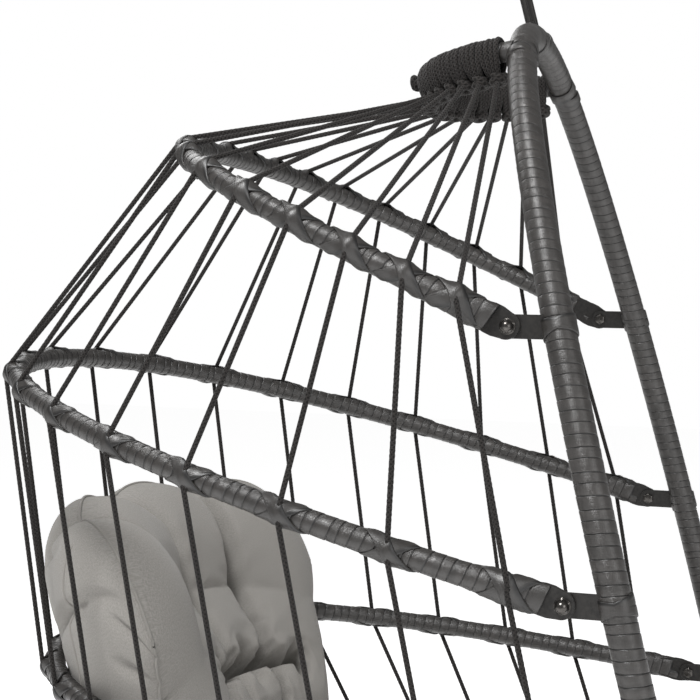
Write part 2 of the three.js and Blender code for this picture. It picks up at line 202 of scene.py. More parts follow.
def grid_skin(grid: Array, u: Array, v: Array, ring_rows: bool = False, ring_columns: bool = True,
              caps: bool = True) -> Skin:
    """Faces for a grid of points, outwards where (row step) x (column step) points outwards.

    Args:
        grid: points, rows by columns by 3.
        u: surface coordinate of each row, with one more at the end if the rows close on themselves.
        v: surface coordinate of each column, with one more if the columns close on themselves.
        ring_rows: the last row joins the first.
        ring_columns: the last column joins the first.
        caps: close the first and the last row with a fan to their middle.

    Returns:
        The skin.
    """
    rows, columns = grid.shape[:2]
    i, j = np.meshgrid(np.arange(rows if ring_rows else rows - 1),
                       np.arange(columns if ring_columns else columns - 1), indexing="ij")
    i, j = i.ravel(), j.ravel()
    i2, j2 = (i + 1) % rows, (j + 1) % columns
    quads = np.stack([i * columns + j, i2 * columns + j, i2 * columns + j2, i * columns + j2], axis=1)
    uv = np.stack([np.stack([u[a], v[b]], axis=-1)
                   for a, b in ((i, j), (i + 1, j), (i + 1, j + 1), (i, j + 1))], axis=1)
    skin = Skin(grid.reshape(-1, 3), quads, uv)
    if ring_rows or not caps:
        return skin
    ring = np.arange(columns)
    after = (ring + 1) % columns
    middle = np.full(columns, rows * columns)
    last = (rows - 1) * columns
    skin.points = np.vstack([skin.points, grid[0].mean(0), grid[-1].mean(0)])
    skin.tris = np.vstack([np.stack([middle, ring, after], 1),
                           np.stack([middle + 1, last + after, last + ring], 1)])
    flat = np.stack([np.full(columns, u[0]), v[:columns]], 1)[:, None, :]
    skin.tri_uv = np.tile(flat, (2, 3, 1))
    return skin


def tube_skin(points: Array, side: Array, radius: Array | float, columns: int = 10,
              braid: float = 0.0, closed: bool = False) -> Skin:
    """Round tube along points: p + r (a cos t + b sin t), where a is side made square to the line.

    Args:
        points: centreline, one row of the tube each.
        side: one direction, or one for each point, that isn't along the line.
        radius: one radius or one for each point.
        columns: points round the tube.
        braid: share of the radius by which the two crossing lays of a braid stand up and down.
        closed: the line ends where it starts.

    Returns:
        The skin, with distance along and turns round as surface coordinates.
    """
    if closed:
        ahead, behind = np.roll(points, -1, 0), np.roll(points, 1, 0)
    else:
        ahead = np.vstack([points[1:], points[-1:]])
        behind = np.vstack([points[:1], points[:-1]])
    line = unit(ahead - behind)
    hint = np.broadcast_to(np.asarray(side, float), points.shape)
    a = unit(hint - (hint * line).sum(1, keepdims=True) * line)
    b = np.cross(a, line)
    steps = np.linalg.norm(np.diff(np.vstack([points, points[:1]]) if closed else points, axis=0), axis=1)
    run = np.concatenate([[0.0], np.cumsum(steps)])
    t = np.arange(columns) / columns * TURN
    r = np.broadcast_to(np.asarray(radius, float), (len(points),))[:, None] * np.ones((1, columns))
    if braid:
        phase = run[: len(points), None] / BRAID_LAY * TURN
        r = r * (1.0 + braid * (np.cos(phase + 2 * t) + np.cos(phase - 2 * t)))
    spokes = a[:, None] * np.cos(t)[:, None] + b[:, None] * np.sin(t)[:, None]
    grid = points[:, None] + r[..., None] * spokes
    return grid_skin(grid, run, np.arange(columns + 1) / columns, ring_rows=closed)


BRAID_LAY = 0.0064    # length of one lay of the braided cord
STRIP_WIDTH = 0.012   # width that a strip is given in surface coordinates, edge to edge


@dataclass(frozen=True)
class Lap:
    """How flat strip is laid round a tube: each turn overlaps the last and leaves a fine step.

    pitch is the length of tube that a turn covers. rows holds, for each row of points in a turn, its
    share of the turn and its height over the tube.
    """

    pitch: float
    rows: tuple[tuple[float, float], ...]
    unevenness: float = 0.3
    drift: float = 0.1


def wrapped_skin(course: Course, normal: Array, lap: Lap, radii: Callable[[Array], tuple[Array, Array]],
                 columns: int, seed: int, span: tuple[float, float] | None = None) -> Skin:
    """Tube wound with strip. Rows follow the winding, so each step is an edge of the mesh.

    A point of turn p and angle t lies at distance pitch (p + t / 2 pi) along the course, at
    c + a cos t (T x N) + b sin t N, where T is the line's direction, N the normal of its plane, and
    a and b are the half widths of the tube there plus the height of the strip.

    Args:
        course: centreline, in one plane.
        normal: unit normal of that plane.
        lap: how the strip is laid.
        radii: gives half widths across the plane's line and along the normal for distances.
        columns: points round the tube.
        seed: seed of the small differences from turn to turn.
        span: first and last distance, for a line that isn't closed.

    Returns:
        The skin, with strip widths laid side by side and metres along the strip as surface coordinates.
    """
    rows_per_turn = len(lap.rows)
    start, stop = span or (0.0, course.length)
    turns = max(3, round((stop - start) / lap.pitch))
    pitch = (stop - start) / turns
    rng = np.random.default_rng(seed)
    count = turns * rows_per_turn if course.closed else (turns - 1) * rows_per_turn + 1
    share = np.array([row[0] for row in lap.rows])
    height = np.array([row[1] for row in lap.rows])
    i = np.arange(count)
    j = np.arange(columns)
    place = (i // rows_per_turn + share[i % rows_per_turn])[:, None] + (j / columns)[None, :]
    harmonics = rng.integers(max(2, turns // 5), max(3, turns // 2), 4)
    phases = rng.uniform(0, TURN, 4)
    drift = sum(np.sin(place / turns * TURN * h + f) for h, f in zip(harmonics, phases)) / 4
    distance = start + pitch * (place + lap.drift * drift)
    turn_size = 1.0 + lap.unevenness * rng.uniform(-1.0, 1.0, turns + 2)
    turn_of = i // rows_per_turn
    step = height[i % rows_per_turn] * np.where(height[i % rows_per_turn] > 0, turn_size[turn_of], 1.0)
    centre = course.at(distance)
    line = course.along(distance)
    side = unit(np.cross(line, normal))
    t = (j / columns * TURN)[None, :]
    wide, tall = radii(distance)
    rise = step[:, None]
    grid = (centre + ((wide + rise) * np.cos(t))[..., None] * side
            + ((tall + rise) * np.sin(t))[..., None] * normal)
    ahead = np.arange(count) + 1
    body_i, body_j = np.meshgrid(i if course.closed else i[:-1], j[:-1], indexing="ij")
    body_i, body_j = body_i.ravel(), body_j.ravel()
    next_i = (body_i + 1) % count if course.closed else body_i + 1
    quads = np.stack([body_i * columns + body_j, next_i * columns + body_j,
                      next_i * columns + body_j + 1, body_i * columns + body_j + 1], axis=1)
    seam = i if course.closed else i[: count - rows_per_turn - 1]
    last = columns - 1
    seam_quads = np.stack([seam * columns + last, (ahead[seam] % count) * columns + last,
                           ((seam + 1 + rows_per_turn) % count) * columns,
                           ((seam + rows_per_turn) % count) * columns], axis=1)
    girth = TURN * float(np.mean(wide))

    def strip_uv(rows: Array, cols: Array) -> Array:
        """Metres across the strip (constant along a row) and metres along it."""
        whole = rows // rows_per_turn + share[rows % rows_per_turn]
        return np.stack([whole * STRIP_WIDTH, (cols / columns + rows // rows_per_turn) * girth], axis=-1)

    uv = np.stack([strip_uv(body_i, body_j), strip_uv(body_i + 1, body_j),
                   strip_uv(body_i + 1, body_j + 1), strip_uv(body_i, body_j + 1)], axis=1)
    full = np.full(len(seam), columns)
    seam_uv = np.stack([strip_uv(seam, full - 1), strip_uv(seam + 1, full - 1),
                        strip_uv(seam + 1, full), strip_uv(seam, full)], axis=1)
    skin = Skin(grid.reshape(-1, 3), np.vstack([quads, seam_quads]), np.concatenate([uv, seam_uv]))
    if not course.closed:
        first = np.concatenate([j, np.arange(rows_per_turn, 0, -1) * columns])
        tail = (count - 1) * columns
        final = np.concatenate([tail + j[::-1],
                                np.arange(count - 1 - rows_per_turn, count - 1) * columns + last])
        middles = len(skin.points)
        skin.points = np.vstack([skin.points, grid[0].mean(0), grid[-1].mean(0)])
        skin.tris = np.vstack([
            np.stack([np.full(len(first), middles), first, np.roll(first, -1)], 1),
            np.stack([np.full(len(final), middles + 1), final, np.roll(final, -1)], 1)])
        skin.tri_uv = np.zeros((len(skin.tris), 3, 2))
    return skin


def band_skin(course: Course, normal: Array, where: float, angle: float, run: float, sweep: float,
              width: float, radii: Callable[[Array], tuple[Array, Array]], thick: float = 0.0011,
              hump: float = 0.0, hump_width: float = 0.009, steps: int = 26) -> Skin:
    """Flat band laid slantwise over a tube.

    Its middle line moves run along the tube while it turns through sweep, and the band is spread to
    both sides of that line over the surface. Its section is a flat bar with eased edges. The ends dip
    into the tube, where they are tucked in.

    Args:
        course: centreline of the tube.
        normal: unit normal of its plane.
        where: distance of the band's middle along the tube.
        angle: angle of the band's middle round the tube.
        run: distance covered along the tube, negative to slant the other way.
        sweep: angle covered round the tube.
        width: width of the band.
        radii: half widths of the tube for distances.
        thick: thickness of the band.
        hump: height of the swelling where the band rides over a rope at its middle.
        hump_width: half width of the swelling along the tube.
        steps: rows along the band.

    Returns:
        The skin.
    """
    section = np.array([[-0.5, -0.6], [-0.5, 0.55], [-0.44, 0.95], [-0.2, 1.08], [0.2, 1.08],
                        [0.44, 0.95], [0.5, 0.55], [0.5, -0.6]])
    t = np.linspace(-0.5, 0.5, steps)[:, None]
    mean = float(np.mean(radii(np.array([where]))[0]))
    slope = unit(np.array([run, mean * sweep]))
    across = section[None, :, 0] * width
    distance = where + run * t - across * slope[1]
    turn = angle + sweep * t + across * slope[0] / mean
    tuck = smooth(np.abs(t), 0.38, 0.5) * 0.0022
    swell = hump * bump(distance, where, hump_width) * np.clip(np.cos(turn - angle), 0, 1) ** 0.6
    rise = section[None, :, 1] * thick + 0.0007 - tuck + swell
    wide, tall = radii(distance)
    side = unit(np.cross(course.along(distance), normal))
    grid = (course.at(distance) + ((wide + rise) * np.cos(turn))[..., None] * side
            + ((tall + rise) * np.sin(turn))[..., None] * normal)
    if run * sweep != 0:
        grid = grid[:, ::-1]
    length = np.linspace(0, math.hypot(run, mean * sweep), steps)
    across = (np.append(section[:, 0], section[0, 0]) + 0.5) * STRIP_WIDTH
    if run * sweep != 0:
        across = across[::-1]
    skin = grid_skin(grid, length, across)
    skin.quad_uv, skin.tri_uv = skin.quad_uv[..., ::-1], skin.tri_uv[..., ::-1]
    return skin


def plate_skin(outline: Array, thick: float, ease: float, place: Callable[[Array], Array]) -> Skin:
    """Flat plate with eased edges: the outline at four heights, drawn in a little at top and bottom.

    Args:
        outline: points of the edge in the plate's own plane, in turning order.
        thick: thickness.
        ease: how far the edges are eased.
        place: puts points (along, up, across) in the row frame.

    Returns:
        The skin.
    """
    middle = outline.mean(0)
    far = np.linalg.norm(outline - middle, axis=1, keepdims=True)
    inner = middle + (outline - middle) * (1.0 - ease / far)
    layers = ((inner, -thick / 2), (outline, -thick / 2 + ease),
              (outline, thick / 2 - ease), (inner, thick / 2))
    grid = np.stack([np.column_stack([shape, np.full(len(shape), h)]) for shape, h in layers])
    v = np.arange(len(outline) + 1) * 0.002
    return grid_skin(place(grid), np.array([0.0, 0.001, 0.005, 0.006]), v)


def lathe_skin(profile: Array, hexes: Array, place: Callable[[Array], Array], columns: int = 48) -> Skin:
    """Turned shape with a six-sided part: radius r / cos(angle to the nearest flat) where hex is 1.

    Args:
        profile: rows of height and radius, from the lowest up.
        hexes: for each row, 0 for round and 1 for six-sided.
        place: puts points (x, y, height) in the row frame.
        columns: points round the shape.

    Returns:
        The skin.
    """
    t = np.arange(columns) / columns * TURN
    flat = np.mod(t + math.pi / 6, math.pi / 3) - math.pi / 6
    r = profile[:, 1:2] * (1.0 + hexes[:, None] * (1.0 / np.cos(flat) - 1.0)[None, :])
    z = np.broadcast_to(profile[:, :1], r.shape)
    grid = np.stack([r * np.cos(t), -r * np.sin(t), z], axis=-1)
    return grid_skin(place(grid)[:, ::-1], profile[:, 0], np.arange(columns + 1) * 0.001)


# ---- finishes -------------------------------------------------------------------------------------------
def linear(code: str, alpha: float = 1.0) -> tuple[float, float, float, float]:
    """Linear colour of a six-digit hexadecimal screen colour."""
    raw = [int(code[k:k + 2], 16) / 255 for k in (1, 3, 5)]
    r, g, b = (c / 12.92 if c <= 0.04045 else ((c + 0.055) / 1.055) ** 2.4 for c in raw)
    return r, g, b, alpha


class Sheet:
    """A node tree with short ways to add nodes and join them."""

    def __init__(self, tree: bpy.types.NodeTree) -> None:
        """Keeps the tree."""
        self.tree = tree

    def add(self, kind: str, inputs: dict | None = None, **settings: object) -> bpy.types.Node:
        """Adds a node.

        Args:
            kind: node type, without its ShaderNode start.
            inputs: values for its sockets by name or number, or sockets to join to them.
            settings: values for the node's own properties.

        Returns:
            The node.
        """
        node = self.tree.nodes.new(kind if kind.startswith("Node") else "ShaderNode" + kind)
        for key, value in settings.items():
            setattr(node, key, value)
        for key, value in (inputs or {}).items():
            if isinstance(value, bpy.types.NodeSocket):
                self.tree.links.new(value, node.inputs[key])
            else:
                node.inputs[key].default_value = value
        return node

    def maths(self, operation: str, first: object, second: object = 0.0) -> bpy.types.NodeSocket:
        """Output of a Math node."""
        return self.add("Math", {0: first, 1: second}, operation=operation).outputs[0]

    def spread(self, value: object, low: float, high: float, to_low: float = 0.0,
               to_high: float = 1.0) -> bpy.types.NodeSocket:
        """Output of a Map Range node."""
        return self.add("MapRange", {0: value, 1: low, 2: high, 3: to_low, 4: to_high}).outputs[0]

    def mix(self, share: object, first: object, second: object) -> bpy.types.NodeSocket:
        """Colour output of a Mix node."""
        node = self.add("Mix", {0: share, 6: first, 7: second}, data_type="RGBA")
        return node.outputs[2]


def shader_group(name: str, inputs: dict[str, object], outputs: Sequence[str],
                 fill: Callable[[Sheet, dict[str, bpy.types.NodeSocket]], dict[str, object]]
                 ) -> bpy.types.NodeTree:
    """A shader node group, built once.

    Args:
        name: name of the group.
        inputs: its inputs, a default number each, or None for a vector.
        outputs: names of its outputs, all plain numbers.
        fill: builds the inside from the inputs and returns the socket of each output.

    Returns:
        The group.
    """
    tree = bpy.data.node_groups.new(name, "ShaderNodeTree")
    for key, default in inputs.items():
        kind = "NodeSocketVector" if default is None else "NodeSocketFloat"
        socket = tree.interface.new_socket(name=key, in_out="INPUT", socket_type=kind)
        if default is not None:
            socket.default_value = default
    for key in outputs:
        tree.interface.new_socket(name=key, in_out="OUTPUT", socket_type="NodeSocketFloat")
    sheet = Sheet(tree)
    entry = sheet.add("NodeGroupInput")
    made = fill(sheet, {s.name: s for s in entry.outputs if s.name})
    sheet.add("NodeGroupOutput", made)
    return tree


class Effects:
    """The shared surface effects, one node group each."""

    def __init__(self) -> None:
        """Builds the four groups."""
        self.grain = shader_group("strip_grain", {"Vector": None, "Fineness": 1.0},
                                  ["Shade", "Height", "PaintedGapShade"], self._grain)
        self.mottle = shader_group("mottle", {"Vector": None, "Scale": 20.0}, ["Shade"], self._mottle)
        self.weave = shader_group("plain_weave", {"Vector": None, "Threads": 900.0}, ["Height", "Shade"],
                                  self._weave)
        self.braid = shader_group("cord_braid", {"Vector": None, "Lays": 180.0}, ["Height", "Shade"],
                                  self._braid)

    @staticmethod
    def _grain(s: Sheet, given: dict) -> dict[str, object]:
        """Fine lines that run along the strip, a slow change from one strip to the next, and painted shade in
        the gap between turns of strip.
        """
        stretched = s.add("VectorMath", {0: given["Vector"], 1: (2400.0, 45.0, 1.0)}, operation="MULTIPLY")
        fine = s.add("VectorMath", {0: stretched.outputs[0], "Scale": given["Fineness"]}, operation="SCALE")
        lines = s.add("TexNoise", {"Vector": fine.outputs[0], "Scale": 1.0, "Detail": 3.0, "Roughness": 0.65})
        broad = s.add("VectorMath", {0: given["Vector"], 1: (95.0, 5.0, 1.0)}, operation="MULTIPLY")
        strips = s.add("TexNoise", {"Vector": broad.outputs[0], "Scale": 1.0, "Detail": 1.0})
        both = s.maths("ADD", s.maths("MULTIPLY", lines.outputs[0], 0.45),
                       s.maths("MULTIPLY", strips.outputs[0], 0.55))
        across = s.add("SeparateXYZ", {0: given["Vector"]}).outputs[0]
        turn = s.maths("FRACT", s.maths("DIVIDE", across, STRIP_WIDTH))
        edge = s.maths("MINIMUM", turn, s.maths("SUBTRACT", 1.0, turn))
        # Painted shade: near a strip's edges the tone is pulled to dark and the gap mask rises, standing for
        # the shade in the step between turns.
        clear = s.spread(edge, 0.02, 0.065)
        return {"Shade": s.maths("MULTIPLY", s.spread(both, 0.3, 0.7), clear),
                "Height": s.maths("MULTIPLY", lines.outputs[0], clear),
                "PaintedGapShade": s.maths("SUBTRACT", 1.0, clear)}

    @staticmethod
    def _mottle(s: Sheet, given: dict) -> dict[str, object]:
        """Slow cloudy change."""
        noise = s.add("TexNoise", {"Vector": given["Vector"], "Scale": given["Scale"], "Detail": 4.0})
        return {"Shade": s.spread(noise.outputs[0], 0.3, 0.7)}

    @staticmethod
    def _weave(s: Sheet, given: dict) -> dict[str, object]:
        """Plain weave: the product of two sine waves at right angles, roughened by slubs in the yarn."""
        x, y, _ = s.add("SeparateXYZ", {0: given["Vector"]}).outputs
        turns = s.maths("MULTIPLY", given["Threads"], TURN)
        warp = s.maths("SINE", s.maths("MULTIPLY", x, turns))
        weft = s.maths("SINE", s.maths("MULTIPLY", y, turns))
        cross = s.maths("MULTIPLY", warp, weft)
        slub_at = s.add("VectorMath", {0: given["Vector"], 1: (1500.0, 420.0, 1.0)}, operation="MULTIPLY")
        slub = s.add("TexNoise", {"Vector": slub_at.outputs[0], "Scale": 1.0, "Detail": 2.0}).outputs[0]
        slub_up = s.add("VectorMath", {0: given["Vector"], 1: (420.0, 1500.0, 1.0)}, operation="MULTIPLY")
        other = s.add("TexNoise", {"Vector": slub_up.outputs[0], "Scale": 1.0, "Detail": 2.0}).outputs[0]
        height = s.maths("ADD", s.spread(cross, -1.0, 1.0), s.maths("ADD", slub, other))
        return {"Height": height, "Shade": s.spread(s.maths("ADD", slub, other), 0.75, 1.25)}

    @staticmethod
    def _braid(s: Sheet, given: dict) -> dict[str, object]:
        """Two sets of yarns that cross round the cord: sine of (distance + turns) and (distance - turns). The
        colour follows the height, so the valleys between the lays are painted darker as shade.
        """
        u, v, _ = s.add("SeparateXYZ", {0: given["Vector"]}).outputs
        along = s.maths("MULTIPLY", s.maths("MULTIPLY", u, given["Lays"]), TURN)
        round_ = s.maths("MULTIPLY", v, TURN * 4)
        one = s.maths("SINE", s.maths("ADD", along, round_))
        two = s.maths("SINE", s.maths("SUBTRACT", along, round_))
        height = s.maths("MAXIMUM", one, two)
        # Painted shade: the colour follows the height, darker in the valleys between the lays.
        return {"Height": height, "Shade": s.spread(height, -0.6, 1.0)}


@dataclass(frozen=True)
class Finish:
    """A finish: two colours that an effect plays between, roughness limits and a bump.

    effect names the group; tint is how strongly the cloudy change darkens it.
    """

    name: str
    dark: str
    light: str
    effect: str
    value: float
    rough: tuple[float, float]
    depth: float
    metallic: float = 0.0
    specular: float = 0.5
    sheen: float = 0.0
    tint: float = 0.35
    cloud: float = 14.0

    def build(self, effects: Effects) -> bpy.types.Material:
        """Makes the material from the shared effects."""
        material = bpy.data.materials.new(self.name)
        material.use_nodes = True
        material.diffuse_color = linear(self.light)
        sheet = Sheet(material.node_tree)
        shader = material.node_tree.nodes["Principled BSDF"]
        coordinates = sheet.add("TexCoord")
        group = getattr(effects, self.effect)
        on_surface = coordinates.outputs["UV"] if self.effect != "mottle" else coordinates.outputs["Object"]
        inner = next(item.name for item in list(group.interface.items_tree)
                     if item.in_out == "INPUT" and item.name != "Vector")
        pattern = sheet.add("Group", node_tree=group)
        sheet.tree.links.new(on_surface, pattern.inputs["Vector"])
        pattern.inputs[inner].default_value = self.value
        cloud = sheet.add("Group", node_tree=effects.mottle)
        sheet.tree.links.new(coordinates.outputs["Object"], cloud.inputs["Vector"])
        cloud.inputs["Scale"].default_value = self.cloud
        colour = sheet.mix(pattern.outputs["Shade"], linear(self.dark), linear(self.light))
        mottle_and_gap_shade = sheet.mix(sheet.maths("MULTIPLY", cloud.outputs["Shade"], self.tint), colour,
                         linear(self.dark))
        # Painted shade: the gap between turns of strip is darkened almost to black, as the shade in the step
        # between them; the cloudy mottle before it is random tone.
        if "PaintedGapShade" in pattern.outputs:
            mottle_and_gap_shade = sheet.mix(sheet.maths("MULTIPLY", pattern.outputs["PaintedGapShade"], 0.85), mottle_and_gap_shade, linear("#0b0a0a"))
        rough = sheet.spread(pattern.outputs["Shade"], 0.0, 1.0, self.rough[1], self.rough[0])
        height = pattern.outputs["Height"] if "Height" in pattern.outputs else pattern.outputs["Shade"]
        raised = sheet.add("Bump", {"Height": height, "Distance": self.depth, "Strength": 0.8})
        links = sheet.tree.links
        links.new(mottle_and_gap_shade, shader.inputs["Base Color"])
        links.new(rough, shader.inputs["Roughness"])
        links.new(raised.outputs[0], shader.inputs["Normal"])
        shader.inputs["Metallic"].default_value = self.metallic
        shader.inputs["Specular IOR Level"].default_value = self.specular
        shader.inputs["Sheen Weight"].default_value = self.sheen
        shader.inputs["Sheen Roughness"].default_value = 0.5
        return material


STRIP = Finish("strip_weave", "#1f1d1b", "#454240", "grain", 1.0, (0.28, 0.46), 0.00042, specular=0.75)
CORD = Finish("braided_cord", "#100f0e", "#2a2624", "braid", 210.0, (0.7, 0.92), 0.0006, specular=0.3,
              sheen=0.08)
CLOTH = Finish("woven_cloth", "#85827e", "#9c9994", "weave", 1100.0, (0.82, 0.95), 0.00012, specular=0.25,
               sheen=0.12, tint=0.12, cloud=5.0)
BLACK_STEEL = Finish("coated_steel", "#201f1e", "#343230", "mottle", 240.0, (0.32, 0.46), 0.00008,
                     metallic=0.25, cloud=30.0)
BRIGHT_STEEL = Finish("plated_fixings", "#3d3b39", "#6c6966", "mottle", 160.0, (0.2, 0.34), 0.00004,
                      metallic=0.9, cloud=60.0)


# ---- sub-assemblies -------------------------------------------------------------------------------------
@dataclass
class Workshop:
    """What every sub-assembly shares: the built finishes and the record of pieces."""

    materials: dict[Slot, bpy.types.Material]
    made: list[bpy.types.Object] = field(default_factory=list)

    def place(self, name: str, skin: Skin, slot: Slot, body: str, nodes: Sequence[str],
              sharp: float | None = None) -> bpy.types.Object:
        """Builds a piece, lets it ride on a body and stand for its nodes.

        Args:
            name: name of the piece.
            skin: its surface.
            slot: its finish.
            body: the body that it moves with, or an empty name to leave it without one here.
            nodes: the nodes that it stands for.
            sharp: angle past which edges are sharp.

        Returns:
            The object.
        """
        obj = skin.build(name, self.materials[slot], sharp)
        if body:
            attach(obj, body)
        if nodes:
            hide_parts(*nodes)
        self.made.append(obj)
        LOG.info("%-28s %7d points", name, len(obj.data.vertices))
        return obj


@dataclass
class FrontRing:
    """Egg-shaped front ring, wound with strip, with the steel hanging loop on top.

    x = W sgn(cos a) |cos a|^(2/q), z = widest + reach sgn(sin a) |sin a|^(2/p), y = lean z - set_forward.
    """

    half_width: float = 0.419
    widest: float = -0.330
    apex: float = 0.350
    bottom: float = -0.800
    upper_x: float = 2.3
    upper_z: float = 1.65
    lower: float = 2.5
    tube: float = 0.0166
    set_forward: float = 0.0514
    rod: float = 0.004
    loop_half: float = 0.029
    loop_leg: float = 0.092
    lap: Lap = Lap(0.0122, ((0.0, -0.0008), (0.03, 0.0002), (0.09, 0.0003), (0.5, 0.00015), (0.9, 0.00005),
                            (0.965, -0.0001)), drift=0.2)
    normal: Array = field(default_factory=lambda: unit(np.array([0.0, 1.0, -LEAN])))

    def course(self) -> Course:
        """Centreline of the ring, from the right side over the top."""
        a = np.linspace(0.0, TURN, 6001)[:-1]
        upper = np.sin(a) >= 0
        reach = np.where(upper, self.apex - self.widest, self.widest - self.bottom)
        x = np.where(upper, signed_power(np.cos(a), 2 / self.upper_x),
                     signed_power(np.cos(a), 2 / self.lower))
        z = np.where(upper, signed_power(np.sin(a), 2 / self.upper_z),
                     signed_power(np.sin(a), 2 / self.lower))
        z = self.widest + reach * z
        points = np.stack([self.half_width * x, LEAN * z - self.set_forward, z], axis=1)
        return Course(points - HANG, closed=True)

    def height_at(self, x: float) -> float:
        """Height of the upper ring centreline at a distance from the middle."""
        return self.widest + (self.apex - self.widest) * (1 - (abs(x) / self.half_width) ** self.upper_x) ** (
            1 / self.upper_z)

    def radii(self, distance: Array) -> tuple[Array, Array]:
        """Half widths of the wound tube."""
        r = np.full(np.shape(distance), self.tube)
        return r, r

    def build(self, shop: Workshop, hinge_heights: Sequence[float]) -> None:
        """Builds the wound ring, its crossing bands and the loop."""
        line = self.course()
        ring = wrapped_skin(line, self.normal, self.lap, self.radii, 24, 11)
        shop.place("front_ring_wrap", ring, Slot.WRAP, "front_frame", ["front_ring"])
        bands = Skin.join(self._bands(line, hinge_heights))
        shop.place("front_ring_bands", bands, Slot.WRAP, "front_frame", [])
        self._loop(shop)

    def _nearest(self, line: Course, x: float, z: float) -> float:
        """Distance along the ring of the point nearest to (x, z)."""
        d = np.linspace(0, line.length, 4000)
        p = line.at(d) + HANG
        return float(d[np.argmin((p[:, 0] - x) ** 2 + (p[:, 2] - z) ** 2)])

    def _bands(self, line: Course, hinge_heights: Sequence[float]) -> list[Skin]:
        """Bands over the apex, over the crown hoop's ends and over the hinge tabs."""
        skins = []
        for x, z, slants in ((0.0, self.apex, (0.03, -0.034, 0.008)),
                             (-CROWN_HALF, self.height_at(CROWN_HALF), (0.03, -0.03, 0.012)),
                             (CROWN_HALF, self.height_at(CROWN_HALF), (0.03, -0.03, -0.012))):
            spot = self._nearest(line, x, z)
            for k, slant in enumerate(slants):
                skins.append(band_skin(line, self.normal, spot + 0.004 * (k - 1), 0.35 + 0.5 * k, slant,
                                       5.4, 0.014, self.radii, 0.0012 + 0.0003 * k, steps=48))
        for z in hinge_heights:
            for sign in (-1, 1):
                x = sign * self._half_width_at(z)
                spot = self._nearest(line, x, z)
                for slant in (0.016, -0.016):
                    skins.append(band_skin(line, self.normal, spot, math.pi, slant, 4.4, 0.012,
                                           self.radii, 0.0012, steps=40))
        return skins

    def _half_width_at(self, z: float) -> float:
        """Half width of the ring at a height."""
        upper = z > self.widest
        reach = self.apex - self.widest if upper else self.widest - self.bottom
        px, pz = (self.upper_x, self.upper_z) if upper else (self.lower, self.lower)
        return self.half_width * (1 - (abs(z - self.widest) / reach) ** pz) ** (1 / px)

    def _loop(self, shop: Workshop) -> None:
        """Hanging loop: two legs and a half circle of round rod, with a bead of weld at each foot."""
        up = unit(np.array([0.0, LEAN, 1.0]))
        foot = np.array([0.0, LEAN * self.apex - self.set_forward, self.apex]) - HANG
        corner = foot + up * self.loop_leg
        legs = np.linspace(0.006, self.loop_leg, 20)[:, None]
        side = np.array([self.loop_half, 0.0, 0.0])
        t = np.linspace(math.pi, 0.0, 41)[:, None]
        bow = corner + side * np.cos(t) + up * self.loop_half * np.sin(t)
        points = np.vstack([foot - side + up * legs[:-1], bow, (foot + side + up * legs[:-1])[::-1]])
        rod = tube_skin(points, np.array([0.0, 1.0, -LEAN]), self.rod, 20)
        beads = []
        for sign in (-1, 1):
            a = np.arange(24) / 24 * TURN
            middle = foot + sign * side + up * 0.0165
            ring = middle + 0.0042 * (np.cos(a)[:, None] * unit(side)
                                      + np.sin(a)[:, None] * unit(np.array([0.0, 1.0, -LEAN])))
            beads.append(tube_skin(ring, up, 0.0022 + 0.0004 * np.sin(7 * a), 10, closed=True))
        shop.place("hanging_loop_rod", Skin.join([rod, *beads]), Slot.STEEL, "front_frame", ["hanging_loop"])


@dataclass
class Hoop:
    """One U-shaped hoop.

    At angle a it lies at x = -w sgn(cos a) |cos a|^e (1 + bulge sin a) and s = depth |sin a|^e, where
    e = 2 / exponent and s runs back along its arm.
    """

    number: int
    start: tuple[float, float]
    half_width: float
    depth: float
    tilt: float
    exponent: float
    bulge: float
    tube: float = 0.0126
    left_pitch: tuple[float, float] = (0.0515, 0.0)
    right_pitch: tuple[float, float] = (0.0515, 0.0)
    line: Course = field(init=False)
    normal: Array = field(init=False)

    def __post_init__(self) -> None:
        """Lays the centreline, from the left end to the right end."""
        a = np.linspace(0.0, math.pi, 5001)
        e = 2 / self.exponent
        x = -self.half_width * signed_power(np.cos(a), e) * (1 + self.bulge * np.sin(a))
        s = self.depth * np.abs(np.sin(a)) ** e
        y = self.start[0] + s * math.cos(self.tilt)
        z = self.start[1] + s * math.sin(self.tilt)
        self.line = Course(np.stack([x, y, z], axis=1) - HANG)
        self.normal = np.array([0.0, -math.sin(self.tilt), math.cos(self.tilt)])

    def share(self, strand: float) -> float:
        """Share of the hoop's length at which a strand crosses it."""
        step, growth = self.left_pitch if strand < 0 else self.right_pitch
        return 0.5 + step * strand + growth * strand * abs(strand)

    def at(self, share: Array) -> Array:
        """Points at shares of the length."""
        return self.line.at(np.asarray(share) * self.line.length)

    def angle_of(self, where: float, direction: Array) -> float:
        """Angle round the tube of a direction, as wrapped_skin counts it."""
        side = unit(np.cross(self.line.along(np.array([where]))[0], self.normal))
        return math.atan2(float(direction @ self.normal), float(direction @ side))


LAP_HOOP = Lap(0.0132, ((0.0, -0.0006), (0.035, 0.0002), (0.1, 0.0003), (0.55, 0.0001), (0.96, -0.0001)),
               drift=0.25)


